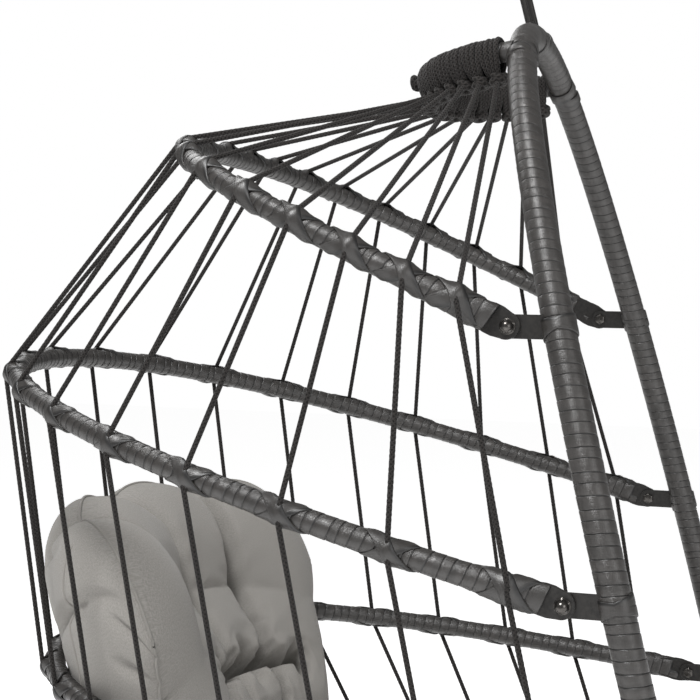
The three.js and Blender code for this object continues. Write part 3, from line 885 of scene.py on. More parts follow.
@dataclass
class Hinge:
    """Bolt joint of a hoop end: a flattened end outside, a tab on the ring inside, a bolt and a dome nut."""

    thick: float = 0.005
    half_height: float = 0.0165
    gap: float = 0.0003
    tab_half: float = 0.0125

    def plate(self, hoop: Hoop, sign: int) -> Skin:
        """Flattened hoop end, cut square behind and rounded in front of the bolt."""
        h = self.half_height
        t = np.linspace(math.pi / 2, 3 * math.pi / 2, 22)
        nose = np.stack([0.0145 * np.cos(t) + 0.002, (h - 0.002) * np.sin(t)], axis=1)
        outline = np.vstack([[[0.043, -h + 0.004], [0.043, h - 0.004], [0.021, h], [0.012, h]], nose,
                             [[0.012, -h], [0.021, -h]]])
        return plate_skin(outline, self.thick, 0.0007, self._placer(hoop, sign, hoop.half_width, hoop.tilt))

    def tab(self, hoop: Hoop, sign: int) -> Skin:
        """Tab that reaches from the ring to the bolt."""
        h = self.tab_half
        t = np.linspace(-math.pi / 2, math.pi / 2, 22)
        nose = np.stack([h * np.cos(t), h * np.sin(t)], axis=1)
        outline = np.vstack([nose, [[-0.02, h], [-0.046, h], [-0.046, -h], [-0.02, -h]]])
        x = hoop.half_width - self.thick - self.gap
        return plate_skin(outline, self.thick, 0.0006, self._placer(hoop, sign, x, 0.0))

    def nut(self, hoop: Hoop, sign: int) -> Skin:
        """Six-sided foot with a washer flange and a dome on it."""
        a = np.linspace(0.0, math.pi / 2, 12)[:-1]
        dome = np.stack([0.0042 + 0.0073 * np.sin(a), 0.0072 * np.cos(a)], axis=1)
        profile = np.vstack([[[0.0, 0.0082], [0.0008, 0.0084], [0.0012, 0.0071], [0.0036, 0.0071],
                              [0.0042, 0.0068]], dome, [[0.0115, 0.0004]]])
        hexes = np.concatenate([[0, 0, 1, 1, 0.3], np.zeros(len(dome) + 1)])
        return lathe_skin(profile, hexes, self._outward(hoop, sign, hoop.half_width + self.thick / 2))

    def bolt(self, hoop: Hoop, sign: int) -> Skin:
        """Six-sided bolt head on the inner side of the tab."""
        profile = np.array([[-0.0052, 0.0054], [-0.0048, 0.0062], [-0.0042, 0.0065], [-0.0002, 0.0065],
                            [0.0, 0.0063], [0.0001, 0.004], [0.012, 0.004]])
        hexes = np.array([0, 0.4, 1, 1, 1, 0, 0], float)
        base = hoop.half_width - 1.5 * self.thick - 2 * self.gap
        return lathe_skin(profile, hexes, self._outward(hoop, sign, base))

    @staticmethod
    def _placer(hoop: Hoop, sign: int, x: float, tilt: float) -> Callable[[Array], Array]:
        """Puts (along, up, across) with along turned up by tilt and the plate at x."""
        c, s = math.cos(tilt), math.sin(tilt)

        def place(p: Array) -> Array:
            """Row-frame points."""
            y = hoop.start[0] + p[..., 0] * c - p[..., 1] * s
            z = hoop.start[1] + p[..., 0] * s + p[..., 1] * c
            return np.stack([sign * x + p[..., 2], y, z], axis=-1) - HANG
        return place

    @staticmethod
    def _outward(hoop: Hoop, sign: int, x: float) -> Callable[[Array], Array]:
        """Turns (x, y, height) so that height points outwards from x on the side of sign."""
        def place(p: Array) -> Array:
            """Row-frame points."""
            return np.stack([sign * (x + p[..., 2]), hoop.start[0] + sign * p[..., 0],
                             hoop.start[1] + p[..., 1]], axis=-1) - HANG
        return place


@dataclass
class Strand:
    """One rope: where it leaves the crown hoop, crosses each hoop and ends."""

    number: int
    start: Array
    crossings: list[Array]
    alongs: list[Array]
    into: list[Array]
    out: list[Array]


@dataclass
class Basket:
    """Hoops, hinges and rope strands."""

    ring: FrontRing
    hoops: list[Hoop]
    crown: Hoop
    rope: float = 0.003
    lift: float = 0.0158
    hang: float = 0.026
    crown_spread: float = 0.88
    strands: int = 19
    hinge: Hinge = field(default_factory=Hinge)

    def radii(self, hoop: Hoop) -> Callable[[Array], tuple[Array, Array]]:
        """Half widths of a wound hoop: round, then swollen and flattened towards both bolted ends."""
        def at(distance: Array) -> tuple[Array, Array]:
            """Half widths across and along the plane's normal."""
            left = np.minimum(distance, hoop.line.length - distance)
            near = 1.0 - smooth(left, 0.028, 0.085)
            bulk = (1.0 - smooth(left, 0.085, 0.1)) * 0.0012
            return hoop.tube + bulk - 0.0064 * near, hoop.tube + bulk + 0.0022 * near
        return at

    def strand(self, k: int) -> Strand:
        """Works out one strand, counted from the middle, negative to the left."""
        start = self.crown.at(0.5 + k / (self.strands - 1) * self.crown_spread) - [0.0, 0.0, self.hang]
        shares = [hoop.share(k) for hoop in self.hoops]
        points = [hoop.at(s) for hoop, s in zip(self.hoops, shares)]
        alongs = [hoop.line.along(np.array([s * hoop.line.length]))[0] for hoop, s in zip(self.hoops, shares)]
        stops = [start, *points]
        spans = [unit(b - a) for a, b in zip(stops, stops[1:])]
        into = [unit(np.cross(along, spans[i])) for i, along in enumerate(alongs)]
        out = [unit(np.cross(along, spans[i + 1])) for i, along in enumerate(alongs[:-1])]
        return Strand(k + self.strands // 2 + 1, start, points, alongs, into, out + [into[-1]])

    def build(self, shop: Workshop) -> None:
        """Builds hoops, hinges, crossings and spans."""
        strands = [self.strand(k - self.strands // 2) for k in range(self.strands)]
        for i, hoop in enumerate(self.hoops):
            self._build_hoop(shop, i, hoop, strands)
        every = [(hoop, sign, side) for hoop in self.hoops for sign, side in ((-1, "left"), (1, "right"))]
        for kind, stem, slot, sharp in (("tab", "hinge_tab", Slot.STEEL, 40),
                                        ("nut", "cap_nut", Slot.FIXINGS, 38),
                                        ("bolt", "hinge_bolt", Slot.FIXINGS, 38)):
            skins = [getattr(self.hinge, kind)(hoop, sign) for hoop, sign, _ in every]
            nodes = [f"{stem}_{hoop.number}_{side}" for hoop, _, side in every]
            shop.place(stem + "s", Skin.join(skins), slot, "front_frame", nodes, sharp)
        for strand in strands:
            self._spans(shop, strand)

    def _build_hoop(self, shop: Workshop, i: int, hoop: Hoop, strands: list[Strand]) -> None:
        """One wound hoop with its flattened ends, crossing bands and the rope that lies on it."""
        body = f"hoop_{hoop.number}"
        radii = self.radii(hoop)
        length = hoop.line.length
        wound = wrapped_skin(hoop.line, hoop.normal, LAP_HOOP, radii, 18, 30 + i, (0.0135, length - 0.0135))
        shop.place(f"{body}_wrap", wound, Slot.WRAP, body, [body])
        plates = [self.hinge.plate(hoop, sign) for sign in (-1, 1)]
        shop.place(f"{body}_ends", Skin.join(plates), Slot.STEEL, body, [], 40)
        bands, ropes = [], []
        for strand in strands:
            k = strand.number - self.strands // 2 - 1
            where = hoop.share(k) * length
            middle = unit(strand.into[i] + strand.out[i])
            angle = hoop.angle_of(where, middle)
            for slant in (0.058, -0.058):
                bands.append(band_skin(hoop.line, hoop.normal, where, angle, slant, 3.9, 0.0145, radii,
                                       0.0008 if slant > 0 else 0.0016, hump=0.0052, steps=30))
            if hoop.number < len(self.hoops):
                ropes.append(self._crossing(strand, i))
            else:
                ropes.extend(self._end_hitch(hoop, where, strand))
        shop.place(f"{body}_bands", Skin.join(bands), Slot.WRAP, body, [])
        shop.place(f"{body}_rope_crossings", Skin.join(ropes), Slot.ROPE, body, [])

    def _crossing(self, strand: Strand, i: int) -> Skin:
        """Short length of rope bent over a hoop, from the normal of one span to that of the next."""
        t = np.linspace(0.0, 1.0, 9)[:, None]
        normals = unit(strand.into[i] * (1 - t) + strand.out[i] * t)
        points = strand.crossings[i] + normals * self.lift
        return tube_skin(points, strand.alongs[i], self.rope, 10, BRAID_RELIEF)

    def _end_hitch(self, hoop: Hoop, where: float, strand: Strand) -> list[Skin]:
        """Three turns of rope round the lowest hoop and a small knot under them."""
        skins = []
        t = np.linspace(0.0, TURN, 29)[:-1]
        for k in (-1, 0, 1):
            d = where + k * 0.0062
            side = unit(np.cross(hoop.line.along(np.array([d]))[0], hoop.normal))
            r = hoop.tube + self.rope + 0.0004
            spokes = np.cos(t)[:, None] * side + np.sin(t)[:, None] * hoop.normal
            ring = hoop.line.at(np.array([d])) + r * spokes
            along = hoop.line.along(np.array([d]))[0]
            skins.append(tube_skin(ring, along, self.rope, 10, BRAID_RELIEF, closed=True))
        outward = strand.into[-1]
        skins.extend(knot_skins(hoop.at(hoop.share(strand.number - 10)) + outward * 0.0205, outward))
        return skins

    def _spans(self, shop: Workshop, strand: Strand) -> None:
        """Straight lengths of rope between hoops, one piece each; all but the first ride on one of their two
        hoops.
        """
        node = f"rope_{strand.number:02d}"
        ends = [strand.start]
        starts = []
        for i, point in enumerate(strand.crossings):
            starts.append(point + strand.into[i] * self.lift)
            ends.append(point + strand.out[i] * self.lift)
        for i, (a, b) in enumerate(zip(ends, starts)):
            rows = max(24, int(np.linalg.norm(b - a) / 0.0026))
            t = np.linspace(0.0, 1.0, rows)[:, None]
            skin = tube_skin(a * (1 - t) + b * t, strand.alongs[i], self.rope, 10, BRAID_RELIEF)
            obj = shop.place(f"{node}_span_{i + 1}", skin, Slot.ROPE, "", [node])
            if i == 0:
                tuple(a)
                tuple(b)
                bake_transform(obj)
                continue
            carrier, axis, anchor, keep = fold_of(a, b, self.hoops[i - 1], self.hoops[i])
            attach(obj, f"hoop_{carrier.number}")
            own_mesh(obj)
            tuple(axis)
            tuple(anchor)


FOLD_DEGREES = {1: 45.0, 2: 50.0, 3: 55.0, 4: 60.0, 5: 62.0}


def turned(point: Array, hoop: Hoop, back: bool = False) -> Array:
    """Point turned about a hoop's hinge line.

    Args:
        point: point to turn.
        hoop: hoop whose hinge line and limit are used.
        back: turn from the limit to rest and not from rest to the limit.

    Returns:
        The turned point.
    """
    pivot = np.array([0.0, hoop.start[0], hoop.start[1]]) - HANG
    phi = math.radians(FOLD_DEGREES[hoop.number]) * (-1.0 if back else 1.0)
    d = point - pivot
    return pivot + np.array([d[0], d[1] * math.cos(phi) - d[2] * math.sin(phi),
                             d[1] * math.sin(phi) + d[2] * math.cos(phi)])


def fold_of(a: Array, b: Array, upper: Hoop, lower: Hoop) -> tuple[Hoop, tuple, tuple, float]:
    """How a span goes slack so that its two ends stay on the two hoops.

    The span rides on one hoop with that end as the anchor. The axis and the kept share are searched for
    the pair that takes the other end nearest to its own hoop's place at the limit: the end moves by
    the dropped share of its reach along the axis.

    Args:
        a: end on the upper hoop.
        b: end on the lower hoop.
        upper: hoop that carries a.
        lower: hoop that carries b.

    Returns:
        Hoop to ride on, and the axis, anchor and kept share of a squash that would hold the other end to its
        hoop.
    """
    best = None
    keep = np.linspace(0.03, 1.0, 195)[None, :, None]
    for near, far, own, other in ((b, a, lower, upper), (a, b, upper, lower)):
        wanted = turned(turned(far, other), own, back=True) - far
        reach = far - near
        first = unit(wanted)
        second = unit(reach - (reach @ first) * first)
        t = np.linspace(0.0, math.pi, 721)[:, None, None]
        axes = np.cos(t) * first + np.sin(t) * second
        left = wanted + (1.0 - keep) * (axes @ reach)[..., None] * axes
        miss = np.linalg.norm(left, axis=-1)
        row, column = np.unravel_index(int(np.argmin(miss)), miss.shape)
        if best is None or miss[row, column] < best[0]:
            best = (float(miss[row, column]), own, tuple(map(float, axes[row, 0])), tuple(map(float, near)),
                    float(keep[0, column, 0]))
    LOG.debug("span misses its hoop by %.1f mm at the limit", best[0] * 1000)
    return best[1:]


def knot_skins(middle: Array, axis: Array, size: float = 1.0) -> list[Skin]:
    """Small overhand knot: two crossed rings of rope and a short bar between them."""
    first = unit(np.cross(axis, [0.3, 0.2, 1.0]))
    second = np.cross(axis, first)
    t = np.linspace(0.0, TURN, 21)[:-1]
    skins = []
    for lean, drop in ((0.35, -0.0022), (-0.45, 0.0024)):
        tilted = unit(second + lean * axis)
        ring = middle + axis * drop * size + 0.0042 * size * (
            np.cos(t)[:, None] * first + np.sin(t)[:, None] * tilted)
        skins.append(tube_skin(ring, unit(np.cross(first, tilted)), 0.0029 * size, 8, closed=True))
    return skins


@dataclass
class Crown:
    """Crown hoop: wound tube with rope hitches side by side, each with a knot where a strand leaves."""

    hoop: Hoop
    basket: Basket
    hitch_from: float = 0.052
    hitch_to: float = 0.948
    turns: int = 4
    rope: float = 0.0031

    def radii(self, distance: Array) -> tuple[Array, Array]:
        """Half widths of the wound crown tube."""
        r = np.full(np.shape(distance), self.hoop.tube)
        return r, r

    def build(self, shop: Workshop) -> None:
        """Builds the wound tube, the hitches and the knots."""
        line = self.hoop.line
        wound = wrapped_skin(line, self.hoop.normal, LAP_HOOP, self.radii, 18, 50,
                             (0.004, line.length - 0.004))
        shop.place("crown_hoop_wrap", wound, Slot.WRAP, "front_frame", ["crown_hoop"])
        shop.place("crown_hitches", Skin.join(self._hitches()), Slot.ROPE, "front_frame", ["crown_lashing"])
        up = np.array([0.0, 0.0, 1.0])
        knots = [skin for k in range(-9, 10) for skin in knot_skins(self._exit(k), up, 1.6)]
        tail = line.at(np.array([0.5 * line.length]))[0] + [0.012, 0.026, 0.006]
        knots.extend(knot_skins(tail, unit(np.array([0.2, 1.0, 0.3])), 1.5))
        shop.place("crown_knots", Skin.join(knots), Slot.ROPE, "front_frame", [])

    def _exit(self, k: int) -> Array:
        """Where a strand leaves its knot."""
        share = 0.5 + k / (self.basket.strands - 1) * self.basket.crown_spread
        return self.hoop.at(share) - [0.0, 0.0, self.basket.hang + 0.003]

    def _hitches(self) -> list[Skin]:
        """Turns of rope: loops round the tube that hang a little below it, each slightly different."""
        rng = np.random.default_rng(7)
        line = self.hoop.line
        count = self.basket.strands
        pitch = (self.hitch_to - self.hitch_from) * line.length / count
        t = np.linspace(0.0, TURN, 37)[:-1]
        down = 0.5 - 0.5 * np.sin(t)
        skins = []
        for n in range(count):
            middle = self.hitch_from * line.length + (n + 0.5) * pitch
            for k in range(self.turns):
                d = middle + (k - (self.turns - 1) / 2) * 0.0061 + rng.uniform(-0.0004, 0.0004)
                at = line.at(np.array([d]))[0]
                along = line.along(np.array([d]))[0]
                side = unit(np.cross(along, self.hoop.normal))
                r = self.hoop.tube + self.rope + rng.uniform(0.0, 0.0012)
                drop = 0.0105 + rng.uniform(-0.001, 0.0015)
                gather = (middle - d) * 0.4 * down ** 3
                ring = (at + along * gather[:, None]
                        + r * np.cos(t)[:, None] * side * (1 - 0.25 * down)[:, None]
                        + (r * np.sin(t) - drop * down ** 2)[:, None] * self.hoop.normal)
                skins.append(tube_skin(ring, along, self.rope, 10, BRAID_RELIEF, closed=True))
        return skins


# slack folds of a wing: u and v of one end, u and v of the other, half width in u, depth in metres
WING_FOLDS = (
    (0.22, 0.29, 0.1, 0.155, 0.013, 0.014),
    (0.11, 0.165, 0.03, 0.02, 0.011, 0.012),
    (0.045, 0.1, 0.006, 0.05, 0.008, 0.008),
    (0.04, 0.23, 0.005, 0.155, 0.009, 0.008),
    (0.3, 0.12, 0.19, 0.06, 0.014, 0.008),
    (0.24, 0.5, 0.07, 0.6, 0.02, 0.01),
    (0.37, 0.46, 0.42, 0.34, 0.02, 0.01),
    (0.16, 0.7, 0.02, 0.78, 0.024, 0.008),
)


@dataclass
class Pads:
    """Lobed back pad and tufted seat pad."""

    basket: Basket
    reach: tuple[tuple[float, ...], tuple[float, ...]] = ((2.35, 3.0, 3.25, 3.5, 3.78),
                                                          (0.215, 0.205, 0.188, 0.168, 0.145))
    top: float = 2.5
    wing_rise: float = 0.1
    corner: float = 0.34
    bottom: float = 3.78
    stand: float = 0.017
    thick: float = 0.145
    sag: float = 0.018
    seam_at: float = 0.3
    panel_seams: tuple[float, float] = (0.14, 0.86)
    creases: tuple[float, ...] = (0.27, 0.5, 0.73)
    tuft_row: float = 0.75
    seat_centre: tuple[float, float] = (0.0, 0.05)
    seat_reach: float = 0.262
    seat_bottom: float = -0.764
    seat_thick: float = 0.108

    def surface(self, share: Array, level: Array) -> Array:
        """Basket surface: straight between two hoops at the same share of their lengths."""
        lines = [hoop.line for hoop in self.basket.hoops]
        stack = np.stack([line.at(share * line.length) for line in lines])
        above = np.clip(np.floor(level).astype(int), 1, len(lines) - 1)
        part = (level - above)[..., None]
        upper = np.take_along_axis(stack, (above - 1)[None, ..., None], 0)[0]
        lower = np.take_along_axis(stack, above[None, ..., None], 0)[0]
        return upper * (1 - part) + lower * part

    def inward(self, share: Array, level: Array) -> Array:
        """Direction into the basket, evened out over the bends at the hoops."""
        across = self.surface(share + 0.01, level) - self.surface(share - 0.01, level)
        down = self.surface(share, level + 0.4) - self.surface(share, level - 0.4)
        return unit(np.cross(down, across))

    def build(self, shop: Workshop) -> None:
        """Builds both pads and their seams."""
        self._back(shop)
        self._seat(shop)

    def _back(self, shop: Workshop) -> None:
        """Back pad: two panels on one grid, sewn round the edge, drawn in at creases and tufts."""
        nu, nv = 150, 92
        u = 0.5 - 0.5 * np.cos(np.linspace(0, math.pi, nu + 1))
        u = 0.35 * np.linspace(0, 1, nu + 1) + 0.65 * u
        v = 0.35 * np.linspace(0, 1, nv + 1) + 0.65 * (0.5 - 0.5 * np.cos(np.linspace(0, math.pi, nv + 1)))
        uu, vv = np.meshgrid(u, v, indexing="ij")
        scallop = 0.05 * (1 - np.abs(np.sin(np.pi * self._lobe(uu)))) * (1 - vv) ** 2
        edge = np.abs(2 * uu - 1)
        top = self.top - self.wing_rise * edge ** 2 + self.corner * edge ** 9 + scallop
        level = top + (self.bottom - top) * vv
        share = 0.5 + (2 * uu - 1) * np.interp(level, *self.reach)
        base = self.surface(share, level)
        inward = self.inward(share, level)
        full = ((1 - np.abs(2 * uu - 1) ** 7) * (1 - np.abs(2 * vv - 1) ** 5)) ** 0.5
        dip, pins = self._creases(uu, vv)
        m = self.seam_at
        inner = self.stand + self.thick * (m + (1 - m) * full * (1 - 0.78 * dip))
        outer = self.stand + self.thick * (m - m * full * (1 - 0.4 * dip))
        outer = outer - self.sag * full * np.sin(math.pi * level) ** 2
        faces = [base + inward * offset[..., None] for offset in (inner, outer)]
        skin, index = sewn_skin(faces[0], faces[1], uu * 0.95, vv * 0.42)
        pin = np.zeros(len(skin.points))
        pin[index[0].ravel()] = pins.ravel()
        pin[index[1].ravel()] = np.maximum(pin[index[1].ravel()], pins.ravel())
        obj = shop.place("back_cushion_pad", skin, Slot.FABRIC, "", ["back_cushion"])
        inflate(obj, pin, 3.2, 0.014)
        shift = np.zeros((len(skin.points), 3))
        shift[index[0].ravel()] = (-inward * self._gathers(uu, vv)[..., None]).reshape(-1, 3)
        shift[index[1].ravel()] += (inward * self._wing_folds(uu, vv)[..., None]).reshape(-1, 3)
        nudge(obj, shift)
        self._panel_seams(shop, obj, index[1], uu, vv)
        rim = np.concatenate([index[0][:, 0], index[0][-1, 1:], index[0][-2::-1, -1], index[0][0, -2:0:-1]])
        self._finish(shop, obj, "back_cushion_seam", rim)

    def _lobe(self, u: Array) -> Array:
        """Place counted in lobes: whole numbers at the creases and at both ends."""
        return np.interp(u, (0.0, *self.creases, 1.0), np.arange(len(self.creases) + 2))

    def _creases(self, u: Array, v: Array) -> tuple[Array, Array]:
        """Depth of the sewn creases, and how firmly each point is held while the pad is filled."""
        dip = np.zeros_like(u)
        for c in self.creases:
            dip = np.maximum(dip, bump(u, c, 0.017) * (0.75 + 0.25 * bump(v, self.tuft_row, 0.2)))
        dip = np.maximum(dip, 0.95 * bump(v, self.tuft_row, 0.02) * smooth(u, 0.08, 0.2)
                         * (1 - smooth(u, 0.8, 0.92)))
        pins = (dip > 0.78).astype(float)
        for c in (0.135, *self.creases, 0.385, 0.615, 0.865):
            spot = np.exp(-((u - c) / 0.03) ** 2 - ((v - self.tuft_row) / 0.05) ** 2)
            dip = np.maximum(dip, 1.2 * spot)
            pins = np.maximum(pins, (spot > 0.55).astype(float))
        return np.minimum(dip, 1.2), pins

    def _gathers(self, u: Array, v: Array) -> Array:
        """Small puckers of the inner panel: sine waves that fade away from the creases and the tufts.

        Args:
            u: places across the pad, 0 to 1.
            v: places down the pad, 0 to 1.

        Returns:
            Heights of the puckers.
        """
        total = np.zeros_like(u)
        for n, c in enumerate(self.creases):
            wave = np.sin(TURN * (9.0 * v + 0.37 * n) + 3.0 * np.abs(u - c) / 0.05)
            total += 0.0016 * wave * np.exp(-np.abs(u - c) / 0.045)
        wave = np.sin(TURN * 17.0 * u + 6.0 * np.abs(v - self.tuft_row))
        total += 0.0018 * wave * np.exp(-np.abs(v - self.tuft_row) / 0.07)
        return total

    def _panel_seams(self, shop: Workshop, obj: bpy.types.Object, index: Array, u: Array,
                     v: Array) -> None:
        """Two sewn seams down the outer panel, where the wings are joined on.

        Args:
            shop: workshop that places the piece.
            obj: finished pad.
            index: point numbers of the outer panel's grid.
            u: places across the pad on that grid.
            v: places down the pad on that grid.
        """
        points = mesh_points(obj)
        skins = []
        for place in self.panel_seams:
            row = int(np.argmin(np.abs(u[:, 0] - place)))
            keep = (v[row] > 0.03) & (v[row] < 0.97)
            line = Course(points[index[row][keep]])
            smooth_line = line.at(np.linspace(0, line.length, 160))
            skins.append(tube_skin(smooth_line, np.array([1.0, 0.2, 0.0]), 0.0019, 8))
        seams = shop.place("back_cushion_panel_seams", Skin.join(skins), Slot.FABRIC, "", [])
        self._fold(seams)

    def _wing_folds(self, u: Array, v: Array) -> Array:
        """Slack folds on the outer panel of both wings.

        Each is a valley along a short line: its depth falls off as exp(-(distance / width)^2) and
        swells and fades along the line as a part of a sine. The far wing's are shallower.

        Args:
            u: places across the pad, 0 to 1.
            v: places down the pad, 0 to 1.

        Returns:
            Depths into the pad.
        """
        total = np.zeros_like(u)
        for u0, v0, u1, v1, width, depth in WING_FOLDS:
            for flip in (False, True):
                uu = 1 - u if flip else u
                dx, dy = u1 - u0, v1 - v0
                t = np.clip(((uu - u0) * dx + (v - v0) * dy) / (dx * dx + dy * dy), 0, 1)
                far = np.hypot(uu - u0 - t * dx, 0.8 * (v - v0 - t * dy))
                share = 0.6 if flip else 1.0
                total += (depth * share * np.exp(-(far / width) ** 2)
                          * np.sin(math.pi * (0.15 + 0.7 * t)))
        return total

    def _seat(self, shop: Workshop) -> None:
        """Seat pad: a round pillow whose section is read off a profile, with a net of tufts on top."""
        section = np.array([[0.0, 0.0], [0.3, 0.0], [0.5, 0.03], [0.72, 0.14], [0.88, 0.34], [0.97, 0.58],
                            [0.985, 0.72], [0.93, 0.86], [0.8, 0.95], [0.55, 1.0], [0.3, 1.0], [0.0, 1.0]])
        run = np.concatenate([[0.0], np.cumsum(np.hypot(*np.diff(section * [1.0, 0.42], axis=0).T))])
        s = np.linspace(0.004, run[-1] - 0.004, 96)
        rho, high = np.interp(s, run, section[:, 0]), np.interp(s, run, section[:, 1])
        kernel = np.ones(7) / 7
        rho[3:-3], high[3:-3] = np.convolve(rho, kernel, "valid"), np.convolve(high, kernel, "valid")
        t = np.arange(144) / 144 * TURN
        x = self.seat_reach * rho[:, None] * np.cos(t)[None]
        y = self.seat_reach * rho[:, None] * np.sin(t)[None]
        dip, pins = self._tufts(x, y)
        upper = smooth(high, 0.5, 0.95)[:, None]
        z = self.seat_bottom + self.seat_thick * high[:, None] - 0.05 * dip * upper
        grid = np.stack([self.seat_centre[0] + x, self.seat_centre[1] + y, z], axis=-1) - HANG
        skin = grid_skin(grid[:, ::-1], s * 0.26, np.arange(len(t) + 1) / len(t) * 1.64)
        pin = np.append((pins * (upper > 0.5))[:, ::-1].ravel(), [0.0, 1.0])
        obj = shop.place("seat_cushion_pad", skin, Slot.FABRIC, "", ["seat_cushion"])
        inflate(obj, pin, 3.0, 0.014)
        row = int(np.argmax(rho))
        self._finish(shop, obj, "seat_cushion_seam", row * len(t) + np.arange(len(t)))

    def _tufts(self, x: Array, y: Array) -> tuple[Array, Array]:
        """Creases on a square net and the tufts where they cross, over the middle of the seat."""
        pitch, shift = 0.145, 0.0725
        near_x = np.abs(np.mod(x + shift + pitch / 2, pitch) - pitch / 2)
        near_y = np.abs(np.mod(y + shift + pitch / 2, pitch) - pitch / 2)
        inside = 1 - smooth(np.hypot(x, y), 0.17, 0.235)
        lines = np.maximum(bump(near_x, 0.0, 0.012), bump(near_y, 0.0, 0.012)) * inside
        spots = np.exp(-(near_x ** 2 + near_y ** 2) / 0.018 ** 2) * inside
        return 0.45 * lines + 0.7 * spots, ((spots > 0.5) | (lines > 0.85)).astype(float)

    def _finish(self, shop: Workshop, obj: bpy.types.Object, seam: str, rim: Array) -> None:
        """Gives a filled pad its seam and lets both ride on the front frame."""
        points = mesh_points(obj)
        loop = points[rim]
        middle = points.mean(0)
        loop = loop + unit(loop - middle) * 0.0005
        welt = tube_skin(loop, np.array([0.02, 0.3, 1.0]), 0.0021, 8, closed=True)
        line = shop.place(seam, welt, Slot.FABRIC, "", [])
        self._fold(obj)
        self._fold(line)

    @staticmethod
    def _fold(piece: bpy.types.Object) -> None:
        """Lets a soft piece ride on the front frame with a mesh of its own."""
        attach(piece, "front_frame")
        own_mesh(piece)


def sewn_skin(front: Array, back: Array, u: Array, v: Array) -> tuple[Skin, list[Array]]:
    """Two panels of the same grid, sewn into one closed skin round their edges.

    Args:
        front: points of one panel, rows by columns by 3.
        back: points of the other; its edge is drawn to the front panel's.
        u: surface coordinate down the rows of each point.
        v: surface coordinate across the columns of each point.

    Returns:
        The skin, and for each panel the number of the point at each place of the grid.
    """
    rows, columns = front.shape[:2]
    first = np.arange(rows * columns).reshape(rows, columns)
    edge = np.ones((rows, columns), bool)
    edge[1:-1, 1:-1] = False
    second = np.where(edge, first, 0)
    second[~edge] = rows * columns + np.arange((~edge).sum())
    points = np.vstack([front.reshape(-1, 3), back[~edge]])
    points[first[edge]] = 0.5 * (front[edge] + back[edge])
    quads, uvs = [], []
    corner = [(slice(None, -1), slice(None, -1)), (slice(1, None), slice(None, -1)),
              (slice(1, None), slice(1, None)), (slice(None, -1), slice(1, None))]
    for index, order in ((first, (0, 1, 2, 3)), (second, (0, 3, 2, 1))):
        quads.append(np.stack([index[corner[k]].ravel() for k in order], axis=1))
        pairs = [np.stack([u[corner[k]].ravel(), v[corner[k]].ravel()], -1) for k in order]
        uvs.append(np.stack(pairs, axis=1))
    skin = Skin(points, np.vstack(quads), np.concatenate(uvs))
    volume = np.einsum("ij,ij->i", points[skin.quads[:, 0]] - points.mean(0),
                       np.cross(points[skin.quads[:, 1]] - points[skin.quads[:, 0]],
                                points[skin.quads[:, 2]] - points[skin.quads[:, 0]])).sum()
    if volume < 0:
        skin.quads = skin.quads[:, ::-1]
        skin.quad_uv = skin.quad_uv[:, ::-1]
    return skin, [first, second]


def mesh_points(obj: bpy.types.Object) -> Array:
    """Points of an object's mesh."""
    points = np.zeros(len(obj.data.vertices) * 3, np.float32)
    obj.data.vertices.foreach_get("co", points)
    return points.reshape(-1, 3).astype(float)


def nudge(obj: bpy.types.Object, shift: Array) -> None:
    """Moves the points of an object's mesh by the given shifts."""
    obj.data.vertices.foreach_set("co", (mesh_points(obj) + shift).astype(np.float32).ravel())
    obj.data.update()


def inflate(obj: bpy.types.Object, pins: Array, pressure: float, cap: float, frames: int = 18) -> None:
    """Fills a pad by cloth simulation and keeps every move below a cap.

    Args:
        obj: the pad.
        pins: 1 where the cloth is held by a crease or tuft, 0 elsewhere.
        pressure: pressure of the filling.
        cap: most that a point may move.
        frames: length of the simulation.
    """
    mesh = obj.data
    before = np.zeros(len(mesh.vertices) * 3, np.float32)
    mesh.vertices.foreach_get("co", before)
    before = before.reshape(-1, 3)
    group = obj.vertex_groups.new(name="held")
    group.add([int(n) for n in np.flatnonzero(pins > 0.5)], 1.0, "REPLACE")
    cloth = obj.modifiers.new("filling", "CLOTH")
    settings = cloth.settings
    settings.quality = 5
    settings.mass = 0.25
    settings.tension_stiffness = settings.compression_stiffness = 12.0
    settings.shear_stiffness = 6.0
    settings.bending_stiffness = 0.6
    settings.use_pressure = True
    settings.uniform_pressure_force = pressure
    settings.vertex_group_mass = group.name
    settings.effector_weights.gravity = 0.0
    settings.shrink_min = -0.03
    cloth.collision_settings.use_collision = False
    scene = bpy.context.scene
    for number in range(1, frames + 1):
        scene.frame_set(number)
    graph = bpy.context.evaluated_depsgraph_get()
    shaped = obj.evaluated_get(graph).to_mesh()
    after = np.zeros(len(shaped.vertices) * 3, np.float32)
    shaped.vertices.foreach_get("co", after)
    obj.evaluated_get(graph).to_mesh_clear()
    move = after.reshape(-1, 3) - before
    size = np.linalg.norm(move, axis=1, keepdims=True)
    move = move / np.maximum(size, 1e-9) * cap * np.tanh(size / cap)
    obj.modifiers.remove(cloth)
    obj.vertex_groups.remove(group)
    mesh.vertices.foreach_set("co", (before + move).astype(np.float32).ravel())
    mesh.update()
    scene.frame_set(1)
    LOG.info("%s filled, mean move %.1f mm", obj.name, 1000 * float(np.linalg.norm(move, axis=1).mean()))


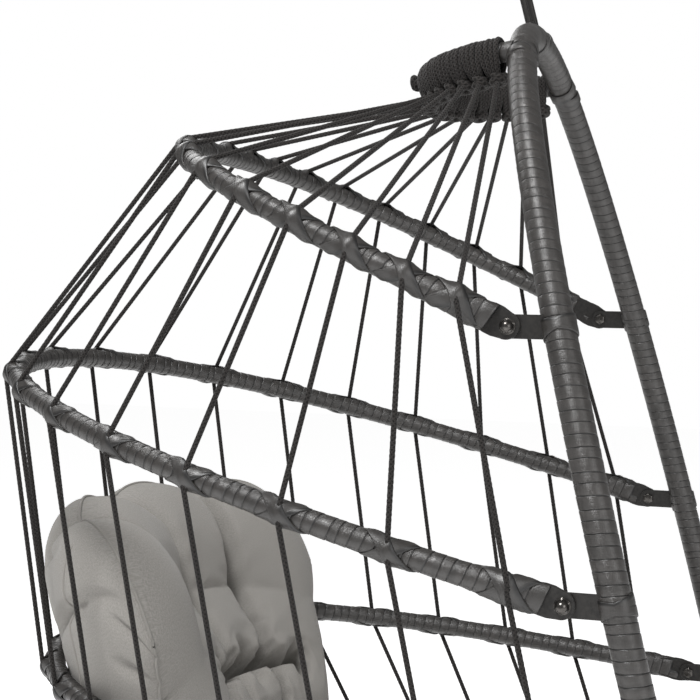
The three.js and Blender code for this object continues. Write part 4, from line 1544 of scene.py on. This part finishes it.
# ---- studio ---------------------------------------------------------------------------------------------
@dataclass
class Studio:
    """Camera, soft lights and a pale floor."""

    camera_at: tuple[float, float, float] = (-1.8725, -0.3576, -0.4350)
    yaw: float = 0.29234
    pitch: float = -0.036039
    roll: float = 0.018073
    focal: float = 77.14
    floor_z: float = -1.75
    ambient: float = 0.25

    def build(self) -> None:
        """Sets up camera, lights, surroundings and floor."""
        self._camera()
        self._light("key", (-2.0, 0.7, 2.3), (0.0, 0.3, -0.4), 1.2, 125.0)
        self._light("fill", (-1.9, -2.3, 0.3), (0.0, 0.3, -0.5), 1.6, 22.0)
        self._light("back", (1.8, 2.2, 1.6), (0.0, 0.3, -0.3), 1.6, 40.0)
        world = bpy.data.worlds.new("surroundings")
        bpy.context.scene.world = world
        world.use_nodes = True
        backdrop = world.node_tree.nodes["Background"]
        backdrop.inputs[0].default_value = (1.0, 1.0, 1.0, 1.0)
        sheet = Sheet(world.node_tree)
        seen = sheet.add("LightPath").outputs["Is Camera Ray"]
        world.node_tree.links.new(sheet.spread(seen, 0.0, 1.0, self.ambient, 1.0), backdrop.inputs[1])
        bpy.context.scene.view_settings.view_transform = "Standard"
        self._floor()

    def _camera(self) -> None:
        """Camera at the viewing angle, level but for a small roll."""
        data = bpy.data.cameras.new("camera")
        data.sensor_width = 36.0
        data.lens = self.focal
        data.dof.use_dof = False
        data.clip_start, data.clip_end = 0.05, 60.0
        camera = bpy.data.objects.new("camera", data)
        bpy.context.scene.collection.objects.link(camera)
        cy, sy, cp, sp = math.cos(self.yaw), math.sin(self.yaw), math.cos(self.pitch), math.sin(self.pitch)
        forward = np.array([cy * cp, sy * cp, sp])
        right = np.array([sy, -cy, 0.0])
        up = np.cross(right, forward)
        cr, sr = math.cos(self.roll), math.sin(self.roll)
        axes = np.stack([cr * right + sr * up, cr * up - sr * right, -forward], axis=1)
        matrix = np.eye(4)
        matrix[:3, :3] = axes
        matrix[:3, 3] = self.camera_at
        camera.matrix_world = Matrix(matrix.tolist())
        bpy.context.scene.camera = camera

    @staticmethod
    def _light(name: str, at: tuple, aim: tuple, size: float, power: float) -> None:
        """Soft square light aimed at a point."""
        data = bpy.data.lights.new(name, "AREA")
        data.size = size
        data.energy = power
        lamp = bpy.data.objects.new(name, data)
        bpy.context.scene.collection.objects.link(lamp)
        lamp.location = at
        lamp.rotation_mode = "QUATERNION"
        lamp.rotation_quaternion = (Vector(aim) - Vector(at)).to_track_quat("-Z", "Y")

    def _floor(self) -> None:
        """Large pale floor well below the basket."""
        side = np.linspace(-14.0, 14.0, 3)
        x, y = np.meshgrid(side, side, indexing="ij")
        grid = np.stack([x, y, np.full_like(x, self.floor_z)], axis=-1)
        material = bpy.data.materials.new("floor_paper")
        material.use_nodes = True
        shader = material.node_tree.nodes["Principled BSDF"]
        shader.inputs["Base Color"].default_value = (0.9, 0.9, 0.9, 1.0)
        shader.inputs["Emission Color"].default_value = (1.0, 1.0, 1.0, 1.0)
        shader.inputs["Emission Strength"].default_value = 0.75
        shader.inputs["Roughness"].default_value = 0.9
        floor = grid_skin(grid, side, side, ring_columns=False, caps=False).build("floor", material)


def main() -> None:
    """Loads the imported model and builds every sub-assembly round it."""
    logging.basicConfig(level=logging.INFO, format="%(name)s: %(message)s")
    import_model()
    Studio().build()
    effects = Effects()
    materials = {Slot.WRAP: STRIP.build(effects), Slot.ROPE: CORD.build(effects),
                 Slot.FABRIC: CLOTH.build(effects), Slot.STEEL: BLACK_STEEL.build(effects),
                 Slot.FIXINGS: BRIGHT_STEEL.build(effects)}
    shop = Workshop(materials)
    ring = FrontRing()
    hoops = [
        Hoop(1, (0.0, 0.0), 0.367, 0.500, 0.436, 2.2, 0.364, left_pitch=(0.0655, -0.0016),
             right_pitch=(0.0502, 0.0)),
        Hoop(2, (LEAN * -0.269, -0.269), 0.426, 0.801, 0.2565, 2.07, 0.222, left_pitch=(0.0445, 0.0009),
             right_pitch=(0.0525, 0.0)),
        Hoop(3, (LEAN * -0.523, -0.523), 0.405, 0.793, 0.104, 2.12, 0.211, left_pitch=(0.043, 0.001)),
        Hoop(4, (LEAN * -0.690, -0.690), 0.320, 0.620, -0.045, 2.15, 0.2),
        Hoop(5, (LEAN * -0.768, -0.768), 0.205, 0.345, -0.14, 2.2, 0.15),
    ]
    top = ring.height_at(CROWN_HALF)
    crown_line = Hoop(0, (LEAN * top - ring.set_forward, top + 0.008), CROWN_HALF, 0.142, -0.13, 2.05, 0.0,
                      tube=0.0117)
    ring.build(shop, [hoop.start[1] for hoop in hoops])
    basket = Basket(ring, hoops, crown_line)
    basket.build(shop)
    Crown(crown_line, basket).build(shop)
    Pads(basket).build(shop)
    LOG.info("%d pieces", len(shop.made))


if __name__ == "__main__":
    main()
